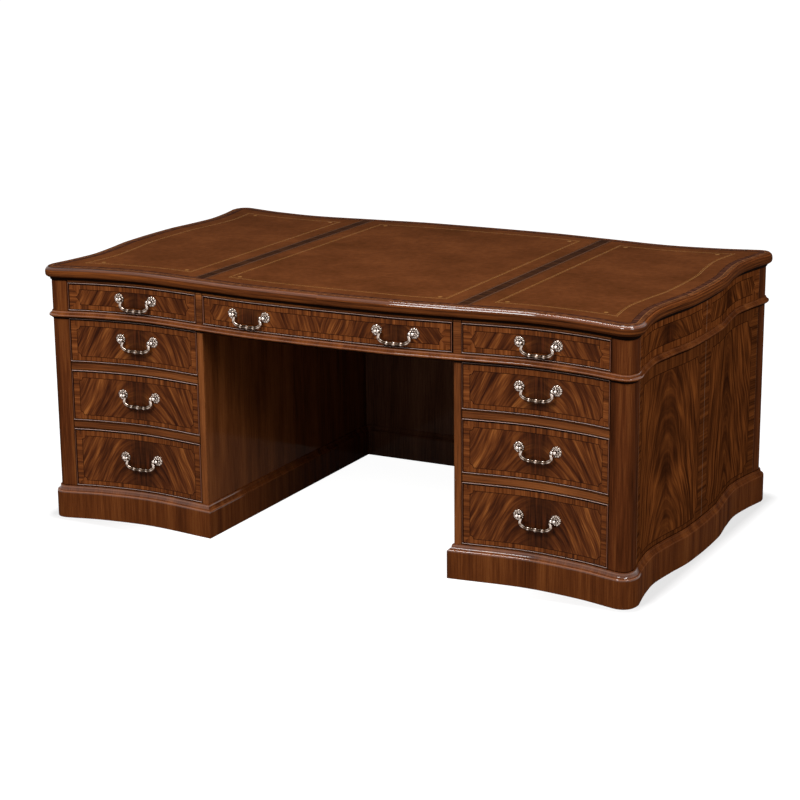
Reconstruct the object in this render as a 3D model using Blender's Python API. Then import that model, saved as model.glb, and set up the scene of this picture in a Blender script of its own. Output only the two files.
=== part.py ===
"""Serpentine pedestal writing desk with nine drawers and swan-neck bail pulls.

Metres, +Z up, front towards -Y, floor at Z = 0. The plan is drawn once, as the face line of the
carcase: a front that bellies out at the kneehole, hollows before each pedestal and sweeps out to a
rounded corner post, and sides that do the same. The back mirrors the front. Every board, rail,
drawer front and moulding is cut from that one line or from a line parallel to it.
"""

import math

import bmesh
import bpy
from mathutils import Matrix, Vector

# Heights, from the floor up
PLINTH_LEDGE = 0.0785
PLINTH_TALL = 0.1000
BOTTOM_THICK = 0.0216
LOWER_DRAWER_TALL = 0.1822
MIDDLE_DRAWER_TALL = 0.1580
UPPER_DRAWER_TALL = 0.1345
RAIL_TALL = 0.0237
FRIEZE_BOTTOM_THICK = 0.0214
FRIEZE_DRAWER_TALL = 0.0862
FRIEZE_RAIL_TALL = 0.0068
TOP_THICK = 0.0395

# Widths of one half, from the centre line out
KNEE_HALF = 0.4090
INNER_SIDE_THICK = 0.0225
PARTITION_THICK = 0.0254
BANK_OPENING = 0.4450
POST_FACE = 0.0285
NOSE_REACH = 0.0365
NOSE_SIDE = 0.0470
POST_SIDE = 0.0300

# The serpentine face line: stations as shares of a run, dips as shares of a sweep
FRONT_HALF_DEPTH = 0.5580
FRONT_SWEEP = 0.0440
FRONT_SHARES = ((0.0, 0.0), (0.22, 0.055), (0.45, 0.50), (0.70, 1.0), (0.87, 0.66), (1.0, 0.03))
SIDE_SWEEP = 0.0285
SIDE_SHARES = ((0.0, 0.0), (0.228, 0.105), (0.457, 0.667), (0.656, 1.0), (0.823, 0.70), (1.0, 0.105))
FRONT_STEPS = 8
CORNER_STEPS = 3
SIDE_STEPS = 7

# Mouldings: reach beyond the face line, and profiles as shares of reach and height, bottom to top
TOP_REACH = 0.0185
TOP_SHARES = ((0.20, 0.0), (0.22, 0.06), (0.55, 0.22), (0.66, 0.25), (0.92, 0.34), (1.0, 0.50),
              (0.94, 0.70), (0.72, 0.86), (0.52, 0.88), (0.50, 0.97), (0.42, 1.0))
WAIST_REACH = 0.0120
WAIST_REBATE = 0.0080
WAIST_SHARES = ((0.35, 0.0), (0.35, 0.18), (0.88, 0.24), (1.0, 0.41), (0.86, 0.57), (0.35, 0.76),
                (0.02, 1.0))
PLINTH_REACH = 0.0155
PLINTH_WALL = 0.0180
PLINTH_SHARES = ((1.0, 0.0), (1.0, 0.80), (0.84, 0.85), (0.66, 0.86), (0.38, 0.91), (0.20, 1.0))

# Boards
SIDE_THICK = 0.0200
BACK_THICK = 0.0180
DUST_BOARD_THICK = 0.0100
RAIL_DEEP = 0.0450
FRIEZE_RAIL_DEEP = 0.0600
MODESTY_SET_IN = 0.1005
MODESTY_THICK = 0.0200

# Drawers
DRAWER_CLEAR = 0.0010
FRONT_THICK = 0.0200
BEAD_WIDE = 0.0030
BEAD_RISE = 0.0022
BOX_LONG = 0.5600
BOX_WALL = 0.0120
BOX_BOTTOM = 0.0080
BOX_SIDE_CLEAR = 0.0040
BOX_HEAD_CLEAR = 0.0120

# Leather panels let into the top
LEATHER_BORDER = 0.0400
LEATHER_STRIP = 0.0460
LEATHER_STRIP_AT = 0.4245
LEATHER_THICK = 0.0020

# Bail pulls
PULL_BORING = 0.1140
PULL_RISE = 0.0140
FRIEZE_PULL_RISE = 0.0040
CENTRE_PULL_IN = 0.1691
ROSE_RADIUS = 0.0165
ROSE_SINK = 0.0030
POST_REACH = 0.0120
POST_BALL = 0.0052
BALL_ANGLES = (math.radians(58), math.radians(122))
PETAL_SHARE = 0.07
PIN_RADIUS = 0.0015
PIN_HOLE = 0.0022
PIN_DEEP = 0.0038
HOLE_DEEP = 0.0048
BAIL_DROP = 0.0315
BAIL_WIRE = 0.0028
ROSE_SHARES = ((1.0, 0.12), (0.76, 0.34), (0.42, 0.40))
ROSE_SIDES = 12
BAIL_SIDES = 6
HOLE_SIDES = 8
BAIL_SHARES = ((1.0, 0.0, 1.15), (0.92, 0.01, 1.70), (0.80, 0.10, 1.0),
               (0.80, 0.31, 0.95), (0.91, 0.49, 1.0), (0.98, 0.67, 1.0), (0.93, 0.86, 1.05),
               (0.76, 0.97, 1.12), (0.56, 1.0, 1.15), (0.43, 1.01, 1.65), (0.30, 1.02, 1.15),
               (0.13, 1.02, 1.15), (0.0, 1.02, 1.85))

# Fits
GAP = 0.0003
OVERRUN = 0.0020
STUB = 0.0040
WELD = 0.000002
SMOOTH_ANGLE = math.radians(32)

# Levels that follow from the heights
PEDESTAL_FOOT = PLINTH_LEDGE + GAP
PEDESTAL_FLOOR = PEDESTAL_FOOT + BOTTOM_THICK
LOWER_TOP = PEDESTAL_FLOOR + LOWER_DRAWER_TALL + 2 * DRAWER_CLEAR
MIDDLE_FLOOR = LOWER_TOP + RAIL_TALL
MIDDLE_TOP = MIDDLE_FLOOR + MIDDLE_DRAWER_TALL + 2 * DRAWER_CLEAR
UPPER_FLOOR = MIDDLE_TOP + RAIL_TALL
PEDESTAL_TOP = UPPER_FLOOR + UPPER_DRAWER_TALL + 2 * DRAWER_CLEAR
FRIEZE_FOOT = PEDESTAL_TOP + GAP
FRIEZE_FLOOR = FRIEZE_FOOT + FRIEZE_BOTTOM_THICK
FRIEZE_OPENING_TOP = FRIEZE_FLOOR + FRIEZE_DRAWER_TALL + 2 * DRAWER_CLEAR
FRIEZE_TOP = FRIEZE_OPENING_TOP + FRIEZE_RAIL_TALL
TOP_UNDERSIDE = FRIEZE_TOP + GAP
HEIGHT = TOP_UNDERSIDE + TOP_THICK

# Places that follow from the widths
BANK_INNER = KNEE_HALF + INNER_SIDE_THICK
BANK_OUTER = BANK_INNER + BANK_OPENING
CENTRE_HALF = BANK_INNER - PARTITION_THICK
FRONT_RUN = BANK_OUTER + POST_FACE

COLOURS = {
    "flame_mahogany": ((0.150, 0.052, 0.020, 1.0), 0.32, 0.0),
    "banded_mahogany": ((0.110, 0.040, 0.017, 1.0), 0.35, 0.0),
    "tooled_leather": ((0.135, 0.052, 0.022, 1.0), 0.50, 0.0),
    "drawer_lining": ((0.430, 0.290, 0.160, 1.0), 0.60, 0.0),
    "antique_brass": ((0.620, 0.560, 0.460, 1.0), 0.28, 1.0),
}


def clear_scene():
    for item in list(bpy.data.objects):
        bpy.data.objects.remove(item, do_unlink=True)


def finish(name):
    """The Principled material of one finish, made once and shared."""
    material = bpy.data.materials.get(name)
    if material is None:
        colour, roughness, metallic = COLOURS[name]
        material = bpy.data.materials.new(name)
        material.use_nodes = True
        shader = material.node_tree.nodes["Principled BSDF"]
        shader.inputs["Base Color"].default_value = colour
        shader.inputs["Roughness"].default_value = roughness
        shader.inputs["Metallic"].default_value = metallic
    return material


def smooth_value(shares, place):
    """Reads a table of shares as one smooth curve that turns only at the table's own peaks."""
    places = [entry[0] for entry in shares]
    values = [entry[1] for entry in shares]
    rises = [(values[i + 1] - values[i]) / (places[i + 1] - places[i]) for i in range(len(shares) - 1)]
    slopes = [0.0]
    for before, after in zip(rises, rises[1:]):
        turning = before * after <= 0
        slopes.append(0.0 if turning else 2 * before * after / (before + after))
    slopes.append(rises[-1])
    index = max(i for i in range(len(rises)) if places[i] <= place)
    width = places[index + 1] - places[index]
    t = (place - places[index]) / width
    start = values[index] * (2 * t**3 - 3 * t**2 + 1) + slopes[index] * width * (t**3 - 2 * t**2 + t)
    stop = values[index + 1] * (3 * t**2 - 2 * t**3) + slopes[index + 1] * width * (t**3 - t**2)
    return start + stop


def quarter_line(rounded=True):
    """A quarter of the face line, from the middle of the front to the middle of the right side."""
    line = []
    for step in range(FRONT_STEPS + 1):
        share = step / FRONT_STEPS
        dip = FRONT_SWEEP * smooth_value(FRONT_SHARES, share)
        line.append(Vector((FRONT_RUN * share, dip - FRONT_HALF_DEPTH)))
    heading = (line[-1] - line[-2]).normalized()
    corner = line[-1] + heading * (NOSE_REACH / heading.x)
    side_end = Vector((corner.x, corner.y + NOSE_SIDE))
    if rounded:
        start = line[-1]
        for step in range(1, CORNER_STEPS + 1):
            t = step / CORNER_STEPS
            line.append(start.lerp(corner, t).lerp(corner.lerp(side_end, t), t))
    else:
        line += [corner, side_end]
    widest = side_end.x + SIDE_SWEEP * SIDE_SHARES[-1][1]
    for step in range(1, SIDE_STEPS + 1):
        share = 1 - step / SIDE_STEPS
        dip = SIDE_SWEEP * smooth_value(SIDE_SHARES, share)
        line.append(Vector((widest - dip, side_end.y * share)))
    return line


def whole_loop(quarter):
    """The closed outline, counter-clockwise from the middle of the front."""
    right_back = [Vector((p.x, -p.y)) for p in quarter[-2::-1]]
    right = quarter + right_back
    left = [Vector((-p.x, p.y)) for p in right[-2:0:-1]]
    return right + left


def shifted(loop, distance):
    """A closed outline moved outwards by a distance, with mitred corners."""
    moved = []
    for i, here in enumerate(loop):
        before = (here - loop[i - 1]).normalized()
        after = (loop[(i + 1) % len(loop)] - here).normalized()
        out_before = Vector((before.y, -before.x))
        out_after = Vector((after.y, -after.x))
        spread = 1 + out_before.dot(out_after)
        moved.append(here + (out_before + out_after) * (distance / spread))
    return moved


def crossing(path, axis, value):
    """Where a path first meets a value on one axis, and how many of its points come before that."""
    for i in range(len(path) - 1):
        start, stop = path[i][axis], path[i + 1][axis]
        if start != stop and (start - value) * (stop - value) <= 0:
            return path[i].lerp(path[i + 1], (value - start) / (stop - start)), i + 1
    raise ValueError("the path never meets this value")


def stretch(path, first, last):
    """The part of a path from where it first meets one limit to where it last meets another.

    Each limit is an axis and a value. Points that lie close beside a cut are left out, so that no
    piece starts with a stub of a face.
    """
    start, before = crossing(path, *first)
    stop, behind = crossing(path[::-1], *last)
    inside = path[before:len(path) - behind]
    return [start] + [p for p in inside if min((p - start).length, (p - stop).length) > STUB] + [stop]


def right_half(distance, rounded=True):
    """The right half of the outline at a distance from the face line, front middle to back middle."""
    loop = shifted(whole_loop(quarter_line(rounded)), distance)
    return loop[:len(loop) // 2 + 1]


def front_between(low, high, distance=0.0):
    """The front line between two places across the desk, left to right, short of the corner's rounding."""
    half = right_half(distance, rounded=False)[:FRONT_STEPS + 2]
    line = [Vector((-p.x, p.y)) for p in half[:0:-1]] + half
    return stretch(line, (0, low), (0, high))


def back_between(low, high, distance=0.0):
    """The back line between two places, left to right: the front's mirror image."""
    return [Vector((p.x, -p.y)) for p in front_between(low, high, distance)]


def side_between(low, high, distance=0.0):
    """The right side line between two depths, front to back, short of the corners' rounding."""
    half = right_half(distance, rounded=False)[FRONT_STEPS + 1:-FRONT_STEPS - 1]
    return stretch(half, (1, low), (1, high))


def on_side(points, side):
    """A plan outline on the right, or its mirror image on the left."""
    return [Vector((p.x * side, p.y)) for p in points]


def post_depth():
    """How far back the front corner post reaches along the side."""
    return quarter_line()[FRONT_STEPS + CORNER_STEPS].y + POST_SIDE


def pedestal_loop():
    """The closed outline of the right pedestal, from its inner front corner."""
    return stretch(right_half(0.0), (0, KNEE_HALF), (0, KNEE_HALF))


def moulding(shares, reach, low, high):
    """A profile as offsets from the face line and levels."""
    return [(out * reach, low + up * (high - low)) for out, up in shares]


def lay(mesh, outlines, level):
    """Lays plan outlines as flat faces at a level, welded where they share an edge."""
    for outline in outlines:
        mesh.faces.new([mesh.verts.new((p.x, p.y, level)) for p in outline])
    bmesh.ops.remove_doubles(mesh, verts=mesh.verts, dist=WELD)


def push(mesh, faces, move):
    """Extrudes faces by a move and returns the faces that moved."""
    edges = {edge for face in faces for edge in face.edges}
    grown = bmesh.ops.extrude_face_region(mesh, geom=faces + list(edges))["geom"]
    verts = [item for item in grown if isinstance(item, bmesh.types.BMVert)]
    bmesh.ops.translate(mesh, vec=move, verts=verts)
    return [item for item in grown if isinstance(item, bmesh.types.BMFace)]


def board(outline, low, high):
    """A board: a plan outline extruded between two levels."""
    mesh = bmesh.new()
    lay(mesh, [outline], low)
    push(mesh, list(mesh.faces), (0, 0, high - low))
    return mesh


def loft(mesh, rings):
    """Carries a face from ring to ring and returns the first and the last one."""
    first = mesh.faces.new([mesh.verts.new(place) for place in rings[0]])
    last = first
    for ring in rings[1:]:
        last = push(mesh, [last], (0, 0, 0))[0]
        for vert, place in zip(last.verts, ring):
            vert.co = place
    return first, last


def band(loop, profile):
    """A moulding of closed section that runs right round a closed outline."""
    lines = [shifted(loop, out) for out, level in profile]
    rings = []
    for i in range(len(loop)):
        rings.append([(line[i].x, line[i].y, level) for line, (out, level) in zip(lines, profile)])
    mesh = bmesh.new()
    first, last = loft(mesh, rings + rings[:1])
    bmesh.ops.delete(mesh, geom=[first, last], context="FACES_ONLY")
    bmesh.ops.remove_doubles(mesh, verts=mesh.verts, dist=WELD)
    return mesh


def add_object(name, mesh, material, parent=None):
    """Makes the object of one piece, with its faces outwards and round forms shaded smooth."""
    bmesh.ops.recalc_face_normals(mesh, faces=mesh.faces)
    if mesh.calc_volume(signed=True) < 0:
        bmesh.ops.reverse_faces(mesh, faces=mesh.faces)
    data = bpy.data.meshes.new(name)
    mesh.to_mesh(data)
    mesh.free()
    data.shade_smooth()
    data.set_sharp_from_angle(angle=SMOOTH_ANGLE)
    data.materials.append(finish(material))
    item = bpy.data.objects.new(name, data)
    bpy.context.scene.collection.objects.link(item)
    if parent is not None:
        item.parent = parent
        item.matrix_parent_inverse = parent.matrix_world.inverted()
    return item


def add_carrier(name, place, turn=0.0, parent=None):
    """An empty on the axis of a joint."""
    carrier = bpy.data.objects.new(name, None)
    bpy.context.scene.collection.objects.link(carrier)
    carrier.matrix_world = Matrix.Translation(place) @ Matrix.Rotation(turn, 4, "Z")
    if parent is not None:
        carrier.parent = parent
        carrier.matrix_parent_inverse = parent.matrix_world.inverted()
    return carrier


def combine(target, mesh, operation):
    """Joins a shape to a piece, or cuts it out of the piece."""
    tool = add_object(target.name + "_tool", mesh, target.data.materials[0].name)
    modifier = target.modifiers.new("combine", "BOOLEAN")
    modifier.operation = operation
    modifier.object = tool
    bpy.context.view_layer.update()
    shaped = bpy.data.meshes.new_from_object(target.evaluated_get(bpy.context.evaluated_depsgraph_get()))
    welded = bmesh.new()
    welded.from_mesh(shaped)
    bmesh.ops.remove_doubles(welded, verts=welded.verts, dist=WELD)
    welded.to_mesh(shaped)
    welded.free()
    target.modifiers.clear()
    old = target.data
    target.data = shaped
    bpy.data.meshes.remove(old)
    bpy.data.objects.remove(tool, do_unlink=True)
    shaped.shade_smooth()
    shaped.set_sharp_from_angle(angle=SMOOTH_ANGLE)


def leather_outlines():
    """The three leather panels, left, centre and right, with square corners."""
    inset = TOP_REACH - LEATHER_BORDER
    inner = LEATHER_STRIP_AT - LEATHER_STRIP / 2
    outer = LEATHER_STRIP_AT + LEATHER_STRIP / 2
    centre = front_between(-inner, inner, inset) + back_between(-inner, inner, inset)[::-1]
    right = stretch(right_half(inset, rounded=False), (0, outer), (0, outer))
    return {"leather_left": on_side(right, -1), "leather_centre": centre, "leather_right": right}


def build_top():
    """The moulded top with its three sunk leather panels."""
    loop = whole_loop(quarter_line())
    profile = moulding(TOP_SHARES, TOP_REACH, TOP_UNDERSIDE, HEIGHT)
    mesh = bmesh.new()
    loft(mesh, [[(p.x, p.y, level) for p in shifted(loop, out)] for out, level in profile])
    top = add_object("top_board", mesh, "banded_mahogany")
    for name, outline in leather_outlines().items():
        mouth = shifted(outline, GAP) if name != "leather_left" else shifted(outline[::-1], GAP)
        combine(top, board(mouth, HEIGHT - LEATHER_THICK - GAP, HEIGHT + OVERRUN), "DIFFERENCE")
        add_object(name, board(outline, HEIGHT - LEATHER_THICK, HEIGHT), "tooled_leather")


def build_frieze():
    """The upper carcase: bottom board, waist moulding, sides with their posts, back and front frame."""
    loop = whole_loop(quarter_line())
    bottom = board(shifted(loop, -WAIST_REBATE - GAP), FRIEZE_FOOT, FRIEZE_FLOOR)
    add_object("frieze_bottom_board", bottom, "banded_mahogany")

    profile = moulding(WAIST_SHARES, WAIST_REACH, FRIEZE_FOOT, FRIEZE_FLOOR)
    profile += [(-WAIST_REBATE, FRIEZE_FLOOR), (-WAIST_REBATE, FRIEZE_FOOT)]
    add_object("waist_moulding", band(loop, profile), "banded_mahogany")

    foot = FRIEZE_FLOOR + GAP
    depth = post_depth()
    outer = stretch(right_half(0.0), (0, BANK_OUTER), (0, BANK_OUTER))
    inner = side_between(depth, -depth, -SIDE_THICK)[::-1]
    section = outer + [Vector((BANK_OUTER, -depth))] + inner + [Vector((BANK_OUTER, depth))]
    for name, side in (("left", -1), ("right", 1)):
        add_object(f"frieze_side_{name}", board(on_side(section, side), foot, FRIEZE_TOP), "flame_mahogany")

    reach = BANK_OUTER - GAP
    back = back_between(-reach, reach) + back_between(-reach, reach, -BACK_THICK)[::-1]
    add_object("frieze_back", board(back, foot, FRIEZE_TOP), "flame_mahogany")
    build_frieze_frame(foot, reach)


def build_frieze_frame(foot, reach):
    """The top rail over the three frieze drawers, with the two partitions that hang from it."""
    edges = [-reach, -BANK_INNER, -CENTRE_HALF, CENTRE_HALF, BANK_INNER, reach]
    tail = BACK_THICK + GAP
    outlines = []
    for low, high in zip(edges, edges[1:]):
        rail_back = front_between(low, high, -FRIEZE_RAIL_DEEP)
        outlines.append(front_between(low, high) + rail_back[::-1])
        if CENTRE_HALF < abs(low + high) / 2 < BANK_INNER:
            outlines.append(rail_back + back_between(low, high, -tail)[::-1])
    mesh = bmesh.new()
    lay(mesh, outlines, FRIEZE_OPENING_TOP)
    push(mesh, list(mesh.faces), (0, 0, FRIEZE_TOP - FRIEZE_OPENING_TOP))
    under = []
    for face in mesh.faces:
        middle = face.calc_center_bounds()
        level = all(vert.co.z < FRIEZE_OPENING_TOP + WELD for vert in face.verts)
        if level and CENTRE_HALF < abs(middle.x) < BANK_INNER:
            under.append(face)
    push(mesh, under, (0, 0, foot - FRIEZE_OPENING_TOP))
    add_object("frieze_frame", mesh, "banded_mahogany")


def build_pedestal(name, side):
    """One pedestal: two corner posts, two sides, back, two dust boards with their rails, bottom, plinth."""
    depth = post_depth()
    post = stretch(right_half(0.0), (0, BANK_OUTER), (1, depth)) + [Vector((BANK_OUTER, depth))]
    rear_post = [Vector((p.x, -p.y)) for p in post]
    foot, top = PEDESTAL_FOOT, PEDESTAL_TOP
    add_object(f"{name}_front_post", board(on_side(post, side), foot, top), "banded_mahogany")
    add_object(f"{name}_rear_post", board(on_side(rear_post, side), foot, top), "banded_mahogany")

    near, far = depth + GAP, -depth - GAP
    outer = side_between(near, far) + side_between(near, far, -SIDE_THICK)[::-1]
    add_object(f"{name}_outer_side", board(on_side(outer, side), foot, top), "flame_mahogany")

    inner = front_between(KNEE_HALF, BANK_INNER) + back_between(KNEE_HALF, BANK_INNER)[::-1]
    add_object(f"{name}_inner_side", board(on_side(inner, side), foot, top), "banded_mahogany")

    low, high = BANK_INNER + GAP, BANK_OUTER - GAP
    back = back_between(low, high) + back_between(low, high, -BACK_THICK)[::-1]
    add_object(f"{name}_back", board(on_side(back, side), foot, top), "flame_mahogany")

    tail = back_between(low, high, -BACK_THICK - GAP)[::-1]
    bottom = front_between(low, high) + tail
    add_object(f"{name}_bottom", board(on_side(bottom, side), foot, PEDESTAL_FLOOR), "banded_mahogany")
    for place, level in (("lower", MIDDLE_FLOOR), ("upper", UPPER_FLOOR)):
        rail_back = front_between(low, high, -RAIL_DEEP)
        rail = on_side(front_between(low, high) + rail_back[::-1], side)
        rest = on_side(rail_back + tail, side)
        add_object(f"{name}_{place}_rail", railed_board(rail, rest, level), "banded_mahogany")

    profile = moulding(PLINTH_SHARES, PLINTH_REACH, 0.0, PLINTH_TALL)
    profile += [(GAP, PLINTH_TALL), (GAP, PLINTH_LEDGE), (-PLINTH_WALL, PLINTH_LEDGE), (-PLINTH_WALL, 0.0)]
    mesh = band(pedestal_loop(), profile)
    if side < 0:
        bmesh.ops.scale(mesh, vec=(-1, 1, 1), verts=mesh.verts)
    add_object(f"{name}_plinth", mesh, "banded_mahogany")


def railed_board(rail, rest, level):
    """A dust board whose front edge is a deeper rail."""
    mesh = bmesh.new()
    under = level - DUST_BOARD_THICK
    lay(mesh, [rail, rest], under)
    push(mesh, list(mesh.faces), (0, 0, DUST_BOARD_THICK))
    rail_middle = min(face.calc_center_bounds().y for face in mesh.faces if flat_at(face, under))
    front = [f for f in mesh.faces if flat_at(f, under) and f.calc_center_bounds().y < rail_middle + WELD]
    push(mesh, front, (0, 0, DUST_BOARD_THICK - RAIL_TALL))
    return mesh


def flat_at(face, level):
    """Whether all of a face lies at one level."""
    return all(abs(vert.co.z - level) < WELD for vert in face.verts)


def build_modesty():
    """The modesty panel across the back of the kneehole, standing in its own plinth."""
    wide, narrow = KNEE_HALF - GAP, KNEE_HALF - PLINTH_REACH - GAP
    shoulder = PLINTH_TALL + GAP
    near = FRONT_HALF_DEPTH - MODESTY_SET_IN
    far = near + MODESTY_THICK
    outline = [(-narrow, PEDESTAL_FOOT), (narrow, PEDESTAL_FOOT), (narrow, shoulder), (wide, shoulder),
               (wide, PEDESTAL_TOP), (-wide, PEDESTAL_TOP), (-wide, shoulder), (-narrow, shoulder)]
    mesh = bmesh.new()
    mesh.faces.new([mesh.verts.new((x, near, z)) for x, z in outline])
    push(mesh, list(mesh.faces), (0, MODESTY_THICK, 0))
    add_object("modesty_panel", mesh, "banded_mahogany")

    profile = moulding(PLINTH_SHARES, PLINTH_REACH, 0.0, PLINTH_TALL)
    section = [(near - out, level) for out, level in profile]
    section += [(near - GAP, PLINTH_TALL), (near - GAP, PLINTH_LEDGE)]
    section += [(far + GAP, PLINTH_LEDGE), (far + GAP, PLINTH_TALL)]
    section += [(far + out, level) for out, level in profile[::-1]]
    mesh = bmesh.new()
    loft(mesh, [[(end, y, level) for y, level in section] for end in (-wide, wide)])
    plinth = add_object("modesty_plinth", mesh, "banded_mahogany")
    scribe = [(KNEE_HALF - out - GAP, level + GAP) for out, level in profile[1:]]
    scribe += [(KNEE_HALF, PLINTH_TALL + GAP), (KNEE_HALF, -OVERRUN), (scribe[0][0], -OVERRUN)]
    start, stop = near - PLINTH_REACH - OVERRUN, far + PLINTH_REACH + OVERRUN
    for side in (-1, 1):
        mesh = bmesh.new()
        mesh.faces.new([mesh.verts.new((x * side, start, z)) for x, z in scribe])
        push(mesh, list(mesh.faces), (0, stop - start, 0))
        combine(plinth, mesh, "DIFFERENCE")


def rose_mesh(place, turn):
    """A petalled rose with its ball post, turned from one profile about the post's axis."""
    ball = [(POST_BALL * math.sin(angle), POST_REACH - POST_BALL * math.cos(angle)) for angle in BALL_ANGLES]
    profile = [(0.0, -ROSE_SINK), (ROSE_RADIUS, -ROSE_SINK)]
    profile += [(ROSE_RADIUS * wide, POST_REACH * out) for wide, out in ROSE_SHARES]
    profile += ball + [(0.0, POST_REACH + POST_BALL)]
    mesh = bmesh.new()
    verts = [mesh.verts.new((radius, -out, 0)) for radius, out in profile]
    edges = [mesh.edges.new(pair) for pair in zip(verts, verts[1:])]
    bmesh.ops.spin(mesh, geom=verts + edges, axis=(0, 1, 0), cent=(0, 0, 0), dvec=(0, 0, 0),
                   angle=math.tau, steps=ROSE_SIDES, use_merge=True)
    bmesh.ops.remove_doubles(mesh, verts=mesh.verts, dist=WELD)
    for vert in mesh.verts:
        radius = math.hypot(vert.co.x, vert.co.z)
        if radius > ROSE_RADIUS * ROSE_SHARES[1][0] - WELD:
            angle = math.atan2(vert.co.z, vert.co.x)
            swell = 1 + PETAL_SHARE * math.cos(angle * ROSE_SIDES / 2)
            vert.co.x *= swell
            vert.co.z *= swell
    bmesh.ops.transform(mesh, matrix=Matrix.Translation(place) @ Matrix.Rotation(turn, 4, "Z"),
                        verts=mesh.verts)
    return mesh


def bail_mesh():
    """The swan-neck bail about its own pins: a round bar of changing thickness, swept down and across."""
    shoulder = PULL_BORING / 2 - POST_BALL - GAP
    half = [(shoulder + PIN_DEEP, 0.0, PIN_RADIUS), (shoulder, 0.0, PIN_RADIUS)]
    half += [(shoulder * x, -BAIL_DROP * drop, BAIL_WIRE * thick) for x, drop, thick in BAIL_SHARES]
    path = half + [(-x, z, radius) for x, z, radius in half[-2::-1]]
    rings = []
    for i, (x, z, radius) in enumerate(path):
        before = path[max(i - 1, 0)]
        after = path[min(i + 1, len(path) - 1)]
        heading = Vector((after[0] - before[0], 0, after[1] - before[1])).normalized()
        aside = Vector((0, 1, 0)).cross(heading)
        turns = [math.tau * side / BAIL_SIDES for side in range(BAIL_SIDES)]
        round_off = [math.cos(turn) * aside + math.sin(turn) * Vector((0, 1, 0)) for turn in turns]
        rings.append([Vector((x, 0, z)) + radius * offset for offset in round_off])
    mesh = bmesh.new()
    loft(mesh, rings)
    return mesh


def face_point(x):
    """The point of the front face line at a place across the desk."""
    return front_between(x, BANK_OUTER)[0]


def add_pull(name, front, carrier, x, level):
    """Two roses joined to a drawer front, the pin holes in their posts, and the bail between them."""
    ends = [face_point(x - PULL_BORING / 2), face_point(x + PULL_BORING / 2)]
    along = ends[1] - ends[0]
    turn = math.atan2(along.y, along.x)
    outward = Vector((math.sin(turn), -math.cos(turn), 0))
    middle = (ends[0] + ends[1]) / 2
    seat = Vector((middle.x, middle.y, level))
    across = Vector((math.cos(turn), math.sin(turn), 0)) * (PULL_BORING / 2)
    for end in (-1, 1):
        combine(front, rose_mesh(seat + across * end, turn), "UNION")
    hinge = seat + outward * POST_REACH
    reach = PULL_BORING / 2 - POST_BALL + HOLE_DEEP
    hole = bmesh.new()
    bmesh.ops.create_cone(hole, segments=HOLE_SIDES, radius1=PIN_HOLE, radius2=PIN_HOLE, depth=2 * reach,
                          cap_ends=True)
    place = Matrix.Translation(hinge) @ Matrix.Rotation(turn, 4, "Z") @ Matrix.Rotation(math.pi / 2, 4, "Y")
    bmesh.ops.transform(hole, matrix=place, verts=hole.verts)
    combine(front, hole, "DIFFERENCE")
    bail = add_object(name, bail_mesh(), "antique_brass")
    bail.matrix_world = Matrix.Translation(hinge) @ Matrix.Rotation(turn, 4, "Z")
    bpy.context.view_layer.update()
    bail.parent = carrier
    bail.matrix_parent_inverse = carrier.matrix_world.inverted()


def add_drawer(name, low, high, floor, tall, pulls):
    """A drawer between two places: its beaded serpentine front, its box and its pulls."""
    middle = face_point((low + high) / 2)
    carrier = add_carrier(name, Vector((middle.x, middle.y, floor)))
    bpy.context.view_layer.update()
    left, right = low + DRAWER_CLEAR, high - DRAWER_CLEAR
    outline = front_between(left, right) + front_between(left, right, -FRONT_THICK)[::-1]
    mesh = board(outline, floor + DRAWER_CLEAR, floor + DRAWER_CLEAR + tall)
    bmesh.ops.recalc_face_normals(mesh, faces=mesh.faces)
    show = [face for face in mesh.faces if face.normal.y < -math.cos(SMOOTH_ANGLE)]
    rim = bmesh.ops.inset_region(mesh, faces=show, thickness=BEAD_WIDE, use_even_offset=True)["faces"]
    push(mesh, rim, (0, -BEAD_RISE, 0))
    front = add_object(f"{name}_front", mesh, "flame_mahogany", carrier)

    under, over = floor + GAP, floor + DRAWER_CLEAR + tall - BOX_HEAD_CLEAR
    tail = middle.y + BOX_LONG
    outer = box_outline(low + BOX_SIDE_CLEAR, high - BOX_SIDE_CLEAR, tail, FRONT_THICK + GAP)
    inner = box_outline(low + BOX_SIDE_CLEAR + BOX_WALL, high - BOX_SIDE_CLEAR - BOX_WALL, tail - BOX_WALL,
                        FRONT_THICK + GAP + BOX_WALL)
    box = add_object(f"{name}_box", board(outer, under, over), "drawer_lining", carrier)
    combine(box, board(inner, under + BOX_BOTTOM, over + OVERRUN), "DIFFERENCE")
    for bail, x, rise in pulls:
        add_pull(bail, front, carrier, x, floor + DRAWER_CLEAR + tall / 2 + rise)


def box_outline(left, right, tail, behind):
    """The plan of a drawer box: its lead follows the front line at a distance behind it."""
    return front_between(left, right, -behind) + [Vector((right, tail)), Vector((left, tail))]


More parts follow.
